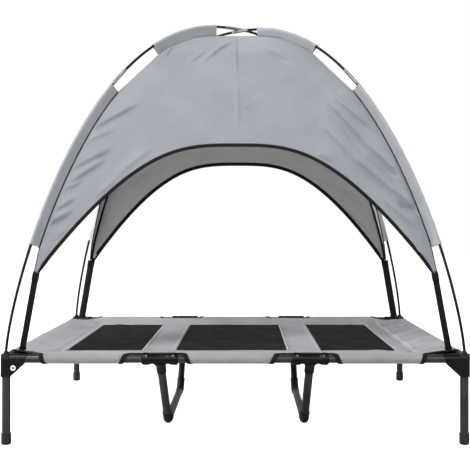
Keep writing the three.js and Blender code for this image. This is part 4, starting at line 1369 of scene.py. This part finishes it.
def panel_grid(panel, columns=190, rows=150):
    """The panel's surface from its doorway edge (first row) to the crest, and its normals."""
    spread = np.linspace(-1, 1, columns + 1)
    side = (spread + np.sin(spread * math.pi / 2)) / 2
    edge = np.interp(doorway_height(side, DOORWAY_SAG[panel]), SEAM[:, 1], SEAM_RUN)
    share = np.linspace(0, 1, rows + 1)
    run = edge + (SEAM_TOP - edge) * share[:, None]
    side = np.broadcast_to(side, run.shape)
    grid = panel_point(panel, side, run)
    normals = unit(np.cross(np.gradient(grid, axis=1), np.gradient(grid, axis=0)))
    calm = smooth(0, 0.025, 1 - np.abs(side)) * smooth(0, 16, run - edge)
    calm = calm * smooth(0, 40, SEAM_TOP - run)
    relief = panel_relief(panel, grid[..., 0], grid[..., 2], side) * calm
    return side, run, grid + normals * relief[..., None], normals


def canopy_sheet():
    """One sheet of four gores, which share their seam points and meet at the crest."""
    form = Form()
    for panel, (span, _, _) in PANELS.items():
        side, run, grid, _ = panel_grid(panel)
        part = loft(to_bed(panel, grid), closed=False, caps=False)
        flat = np.stack([side * seam_at(run)[0] * span, run], axis=-1).reshape(-1, 2)
        part.cloth = [tuple(tuple(flat[i]) for i in face) for face in part.faces]
        form.join(part)
    return form


CANOPY_CLOTH = woven_finish("canopy_oxford", (146, 150, 158), (166, 170, 178), 0.55, 0.05, 0.5, 0.25)
# The inner face: its neutral grey is the coated inside's own, and its paleness is painted light that
# brightens the shaded inside of the canopy.
CANOPY_INSIDE_PAINTED_LIGHT = woven_finish("canopy_inside_painted_light", (186, 187, 188), (206, 207, 208), 0.55, 0.05, 0.8)
SLEEVE_CLOTH = woven_finish("sleeve_oxford", (166, 170, 174), (188, 192, 196), 0.55, 0.06, 0.6, 0.2)

looks = (CANOPY_CLOTH, CANOPY_INSIDE_PAINTED_LIGHT)
nodes = [f"canopy_panel_{name}" for name in PANELS]
canopy_form = canopy_sheet()
canopy = cloth_piece("canopy_sheet", canopy_form, looks, "canopy", nodes, "canopy_fabric", 0.8)
canopy.modifiers["cloth_thickness"].material_offset = 1
weld = bmesh.new()
weld.from_mesh(canopy.data)
bmesh.ops.remove_doubles(weld, verts=weld.verts, dist=0.00002)
weld.to_mesh(canopy.data)
weld.free()


def doorway_binding(panel):
    """A tape folded over the doorway's edge, narrower towards the tips."""
    side, _, grid, normals = (rows[0] for rows in panel_grid(panel))
    edge, normal = grid[1:-1], normals[1:-1]
    inward = np.cross(normal, unit(np.gradient(edge, axis=0)))
    wide, taper = (8.6, 0.65) if panel == "front" else (11, 0.2)
    inward = inward * (1 - taper * smooth(0.95, 0.985, np.abs(side[1:-1])))[:, None]
    section = [(wide, 0.5), (wide - 0.6, 0.8), (3, 1.0), (0, 1.0), (-1.1, 0.4), (-1.4, -0.4)]
    section += [(-1.1, -1.2), (0, -1.8), (3, -1.8), (wide - 0.6, -1.6), (wide, -1.3)]
    rings = [edge + inward * inset + normal * lift for inset, lift in section]
    return loft(to_bed(panel, np.array(rings).transpose(1, 0, 2)))


bindings = Form().join(*(doorway_binding(panel) for panel in PANELS))
canopy_binding = piece("canopy_binding", bindings, BINDING, "canopy", sharp=50)


# ---- Poles, ferrules and sleeves ----


def in_quarter(quarter, line):
    """A line of (reach, height) carried to the bed, and the direction square to its plane."""
    side_x, side_y = CORNERS[quarter]
    out = np.array((side_x * SPAN, side_y * DEPTH, 0))
    return line[:, :1] * out + line[:, 1:] * UP, np.cross(UP, out)


def make_pole(name):
    """A whole pole in its own plane, from socket to socket."""
    half = np.vstack([[(DIAGONAL, RAIL_Z + 0.5)], arch_line(POLE_RISES[name])[::12]])
    line = np.vstack([half, half[-2::-1] * (-1, 1)])
    quarter = "front_left" if name == "upper" else "front_right"
    rod = swept(*in_quarter(quarter, line), circle(POLE_RADIUS, 24))
    piece(f"pole_{name}", rod, POLE_BLACK, "canopy", f"canopy_pole_{name}", slot="pole_fibreglass")


def from_crest(rise):
    """An arch from its crest down, and the length along it at each point."""
    line = arch_line(rise)[::-1]
    return line, lengths_along(line)


def on_arch(rise, run):
    """Points of an arch at lengths along it from the crest; negative ones are past the crest."""
    line, lengths = from_crest(rise)
    reach = np.interp(np.abs(run), lengths, line[:, 0]) * np.sign(run)
    return np.column_stack([reach, np.interp(np.abs(run), lengths, line[:, 1])])


def run_at_height(rise, height):
    line, lengths = from_crest(rise)
    return np.interp(-height, -line[:, 1], lengths)


for pole in POLES:
    make_pole(pole)

FERRULE_LENGTH = 62


def ferrule(quarter, start):
    """A rolled steel joint sleeve on a pole, with a crimped bead near each end."""
    inset = np.array([0, 0.8, 5, 6, 7, FERRULE_LENGTH / 2])
    run = np.concatenate([inset, FERRULE_LENGTH - inset[-2::-1]])
    line = on_arch(POLE_RISES[QUARTERS[quarter]], start + run)
    radii = np.array([4.3, 4.75, 4.75, 5.0, 4.75, 4.75])
    radii = np.concatenate([radii, radii[-2::-1]])
    return pipe(*in_quarter(quarter, line), radii, POLE_RADIUS + 0.02, 28)


ferrules = Form()
for quarter, pole in QUARTERS.items():
    gap_end = run_at_height(POLE_RISES[pole], LOWER_SLEEVE[0])
    ferrules.join(ferrule(quarter, gap_end - 4 - FERRULE_LENGTH))
for quarter in ("front_left", "front_right"):
    ferrules.join(ferrule(quarter, 15 - FERRULE_LENGTH / 2))
piece("pole_ferrules", ferrules, DULL_STEEL, "canopy")


def sleeve_section(swell, pinch, depth):
    """A strip folded round the pole, both its edges sewn down at the seam."""
    right = [(0.4, -depth), (0.8 + pinch, 5 - depth), (2.0 + pinch, -12), (4.4, -5.6)]
    over = arc((0, 0), SLEEVE_OUTER, -14, 194, 15)
    outline = right + over + [(-x, y) for x, y in right[::-1]]
    return [(x + swell * np.sign(x), y + (swell if y > 2 else 0)) for x, y in outline]


def pole_sleeve(quarter, start, end):
    """A sleeve between two lengths along its arch from the crest, hemmed at both ends."""
    rise = POLE_RISES[QUARTERS[quarter]]
    length = end - start
    run = np.arange(0, length, 4.0)
    hem = np.array([0, 1, 8.4, 9.4])
    run = np.unique(np.concatenate([run[(run > 11) & (run < length - 11)], hem, length - hem]))[::-1]
    line = on_arch(rise, start + run)
    share = (line[:, 1] - POLE_BASE) / rise * outward_of(line)[:, 1]
    depths = SEAM_OFFSET + 0.6 + (rise - POLE_RISE) * share
    outlines = []
    for place, depth in zip(run, depths):
        hem = min(place, length - place) < 9
        swell = 0.5 if hem else 0.25 * math.sin(place / 9 + 2 * math.sin(place / 33))
        pinch = 0.3 if hem else 0.5 * math.sin(place / 13 + 1.5 * math.sin(place / 47))
        outlines.append(sleeve_section(swell, pinch, depth)[::-1])
    return swept(*in_quarter(quarter, line), outlines, closed=False, caps=False)


def sleeve_spans(quarter):
    """Where the two sleeves of a quarter start and end, along its arch from the crest."""
    rise = POLE_RISES[QUARTERS[quarter]]
    line, lengths = from_crest(rise)
    crest_end = np.interp(UPPER_SLEEVE_REACH, line[:, 0], lengths)
    upper = (crest_end, run_at_height(rise, CREST_Z - UPPER_SLEEVE_DROP))
    return {"upper": upper, "lower": tuple(run_at_height(rise, height) for height in LOWER_SLEEVE)}


for quarter, pole in QUARTERS.items():
    for level, (start, end) in sleeve_spans(quarter).items():
        form = pole_sleeve(quarter, start, end)
        name = f"sleeve_{level}_{quarter}"
        nodes = [f"pole_{name}"]
        made = cloth_piece(name, form, SLEEVE_CLOTH, "canopy", nodes, "canopy_fabric", 0.7)


def seam_shadow_strip(quarter, start, end):
    """A dark strip where a sleeve meets the panels beside it: painted shadow for the gap under the sleeve's
    edge, along the line of the seam.
    """
    line = on_arch(POLE_RISE, np.linspace(end, start, int((end - start) / 6)))
    seam = line - (SEAM_OFFSET - 1.2) * outward_of(line)
    return swept(*in_quarter(quarter, seam), [(-1.9, -0.8), (1.9, -0.8), (1.4, 0.5), (-1.4, 0.5)])


def bound_allowance(quarter):
    """The seam allowance inside the canopy, bound in dark tape from the tip to the window."""
    held = (SEAM[:, 1] > TIP_HEIGHT + 4) & (SEAM[:, 1] < LOWER_SLEEVE[0] - 2)
    return swept(*in_quarter(quarter, SEAM[held][::-6]), [(-1.3, 0.4), (1.3, 0.4), (1.5, 8.5), (-1.5, 8.5)])


# The painted seam shadows and the bound seam allowances, as one piece.
shadow_strips_and_tapes = Form()
for quarter in QUARTERS:
    shadow_strips_and_tapes.join(seam_shadow_strip(quarter, *sleeve_spans(quarter)["lower"]), bound_allowance(quarter))
seam_shadow_and_tapes = piece("canopy_seam_shadow_and_tape", shadow_strips_and_tapes, BINDING, "canopy", sharp=50)

cloth_area(canopy_form)
strip_width = float(lengths_along(np.array(sleeve_section(0, 0, SEAM_OFFSET)))[-1])


# ---- Corner straps ----

STRAP_WIDTH = 15
STRAP_WIDTHS = {name: 16.4 if side_y < 0 else 23 for name, (_, side_y) in CORNERS.items()}
STRAP_FOLDED = 0.06  # metres of webbing in the folds at both ends
RING_WIRE_RADIUS = 1.25
WEBBING = band_finish("webbing", (13, 13, 14), (32, 32, 34), 1.2, 0.15)


def ribbon(start, end, count, width, thickness):
    """A flat band between two points, its edges thinned."""
    half, rim = width / 2, thickness / 2
    section = [(-half, -rim * 0.6), (-half + 0.6, -rim), (half - 0.6, -rim), (half, -rim * 0.6)]
    section += [(half, rim * 0.6), (half - 0.6, rim), (-half + 0.6, rim), (-half, rim * 0.6)]
    return swept(straight(start, end, count), ALONG_X, section)


def strap_ends(name):
    """Where a strap leaves the deck and where it meets the canopy's tip."""
    low, high = box_of(f"corner_strap_{name}")
    side = np.array(CORNERS[name])
    outer = np.where(side > 0, high[:2], low[:2])
    inner = np.where(side > 0, low[:2], high[:2])
    half = STRAP_WIDTH / 2
    foot_shift, top_shift = (-4, 6) if side[1] > 0 else (1.2, 1.2)
    foot = (outer[0] + side[0] * (foot_shift - half), inner[1] + side[1] * 0.8, low[2] + 0.2)
    top = (inner[0] + side[0] * (top_shift + half), outer[1] - side[1] * 0.8, high[2] - 6)
    return np.array(foot), np.array(top)


def corner_strap(name):
    """From a ring at the deck's corner up to the canopy's tip, its top folded and sewn."""
    foot, top = strap_ends(name)
    width = STRAP_WIDTHS[name]
    way = unit(top - foot)
    face = np.cross(ALONG_X, way) * 1.6
    strap = ribbon(foot + way * 6.5, top, 30, width, 1.5)
    cover = ribbon(top - way * 15, top + way * 6, 5, width + 1.5, 6.5)
    turn_up = ribbon(foot + way * 10 + face, foot + way * 40 + face, 6, width, 1.5)
    tab = ribbon(foot + way * 0.5, foot + way * 6, 3, width - 1, 2.6)
    return strap.join(cover, turn_up, tab)


def strap_ring(name):
    """A wire D-ring that joins the strap to the deck's corner."""
    foot, top = strap_ends(name)
    way = unit(top - foot)
    half = STRAP_WIDTHS[name] / 2 + 1.2
    loop = [(-half, -3), (-half + 2, -4.6), (half - 2, -4.6), (half, -3)]
    loop += [(half - 1, 1.5), (half - 4, 4), (-half + 4, 4), (-half + 1, 1.5)]
    path = np.array([foot + way * (8 + z) + ALONG_X * x for x, z in loop])
    tangent = unit(np.roll(path, -1, axis=0) - np.roll(path, 1, axis=0))
    across = np.cross(ALONG_X, way)
    spokes = np.cross(across, tangent)
    wire = circle(RING_WIRE_RADIUS, 10)
    rings = path[:, None] + wire[:, :1] * across + wire[:, 1:] * spokes[:, None]
    return loft(rings, ends_meet=True)


for name in CORNERS:
    node = f"corner_strap_{name}"
    strap = piece(f"strap_{name}", corner_strap(name), WEBBING, "canopy", node, slot="strap_webbing")
    ring = piece(f"strap_ring_{name}", strap_ring(name), MOULDED_BLACK, "canopy")
    math.dist(*strap_ends(name)) * MM + STRAP_FOLDED


# ---- Lighting and floor ----

make_lamp("key_soft_box", (-1.8, -2.2, 4.0), (0, 0, 0.6), 1.0, 107)
make_lamp("front_fill", (-1.4, -3.7, 1.0), (0.3, 0, 0.4), 1.6, 9)
make_lamp("left_fill", (-3.1, 0.4, 0.76), (0.5, 0, 0.2), 1.0, 125)
make_lamp("right_fill", (2.9, -1.5, 2.4), (0.2, 0, 0.5), 1.0, 24)
make_lamp("right_low", (3.1, 1.2, 1.3), (0.3, 0, 0.5), 1.2, 18)
make_lamp("top_soft_box", (-0.2, 0.9, 3.4), (0, 0, 0.4), 2.4, 16)

WHITE = (1.0, 1.0, 1.0)
FLOOR_GREY = (0.62, 0.62, 0.62)


def make_floor():
    """A pale floor that renders white in the open and keeps the shadows on it."""
    mesh = bpy.data.meshes.new("studio_floor")
    reach = 14
    corners = [(-reach, -reach, 0), (reach, -reach, 0), (reach, reach, 0), (-reach, reach, 0)]
    mesh.from_pydata(corners, [], [(0, 1, 2, 3)])
    floor = bpy.data.objects.new("studio_floor", mesh)
    bpy.context.scene.collection.objects.link(floor)
    look = Look("floor_white", 0.9)
    look.feed(look.shader.inputs["Base Color"], FLOOR_GREY)
    ray = look.node("ShaderNodeLightPath", output="Is Camera Ray")
    glow = look.node("ShaderNodeEmission", {}, {"Color": WHITE, "Strength": ray})
    lit = Value(look, look.shader.outputs[0])
    both = look.node("ShaderNodeAddShader", {}, {0: lit, 1: glow})
    look.feed(look.tree.nodes["Material Output"].inputs["Surface"], both)
    mesh.materials.append(look.material)


def make_world():
    """Even pale light, white to the camera, with a bright front window for glossy reflections."""
    world = bpy.data.worlds.new("studio")
    sky = Shading(world)
    way = sky.node("ShaderNodeTexCoord", output="Generated")
    ahead = sky.node("ShaderNodeSeparateXYZ", {}, {0: way}, "Y")
    height = sky.node("ShaderNodeSeparateXYZ", {}, {0: way}, "Z")
    window = (ahead * -1).ramp(0.35, 0.5) * height.ramp(0.12, 0.2) * (height * -1).ramp(-0.8, -0.6)
    glossy = sky.node("ShaderNodeLightPath", output="Is Glossy Ray")
    camera = sky.node("ShaderNodeLightPath", output="Is Camera Ray")
    strength = camera * 0.64 + window * glossy * 3.0 + 0.36
    background = world.node_tree.nodes["Background"].inputs
    sky.feed(background["Color"], WHITE)
    sky.feed(background["Strength"], strength)
    bpy.context.scene.world = world


make_floor()
make_world()
bpy.context.scene.view_settings.view_transform = "Standard"

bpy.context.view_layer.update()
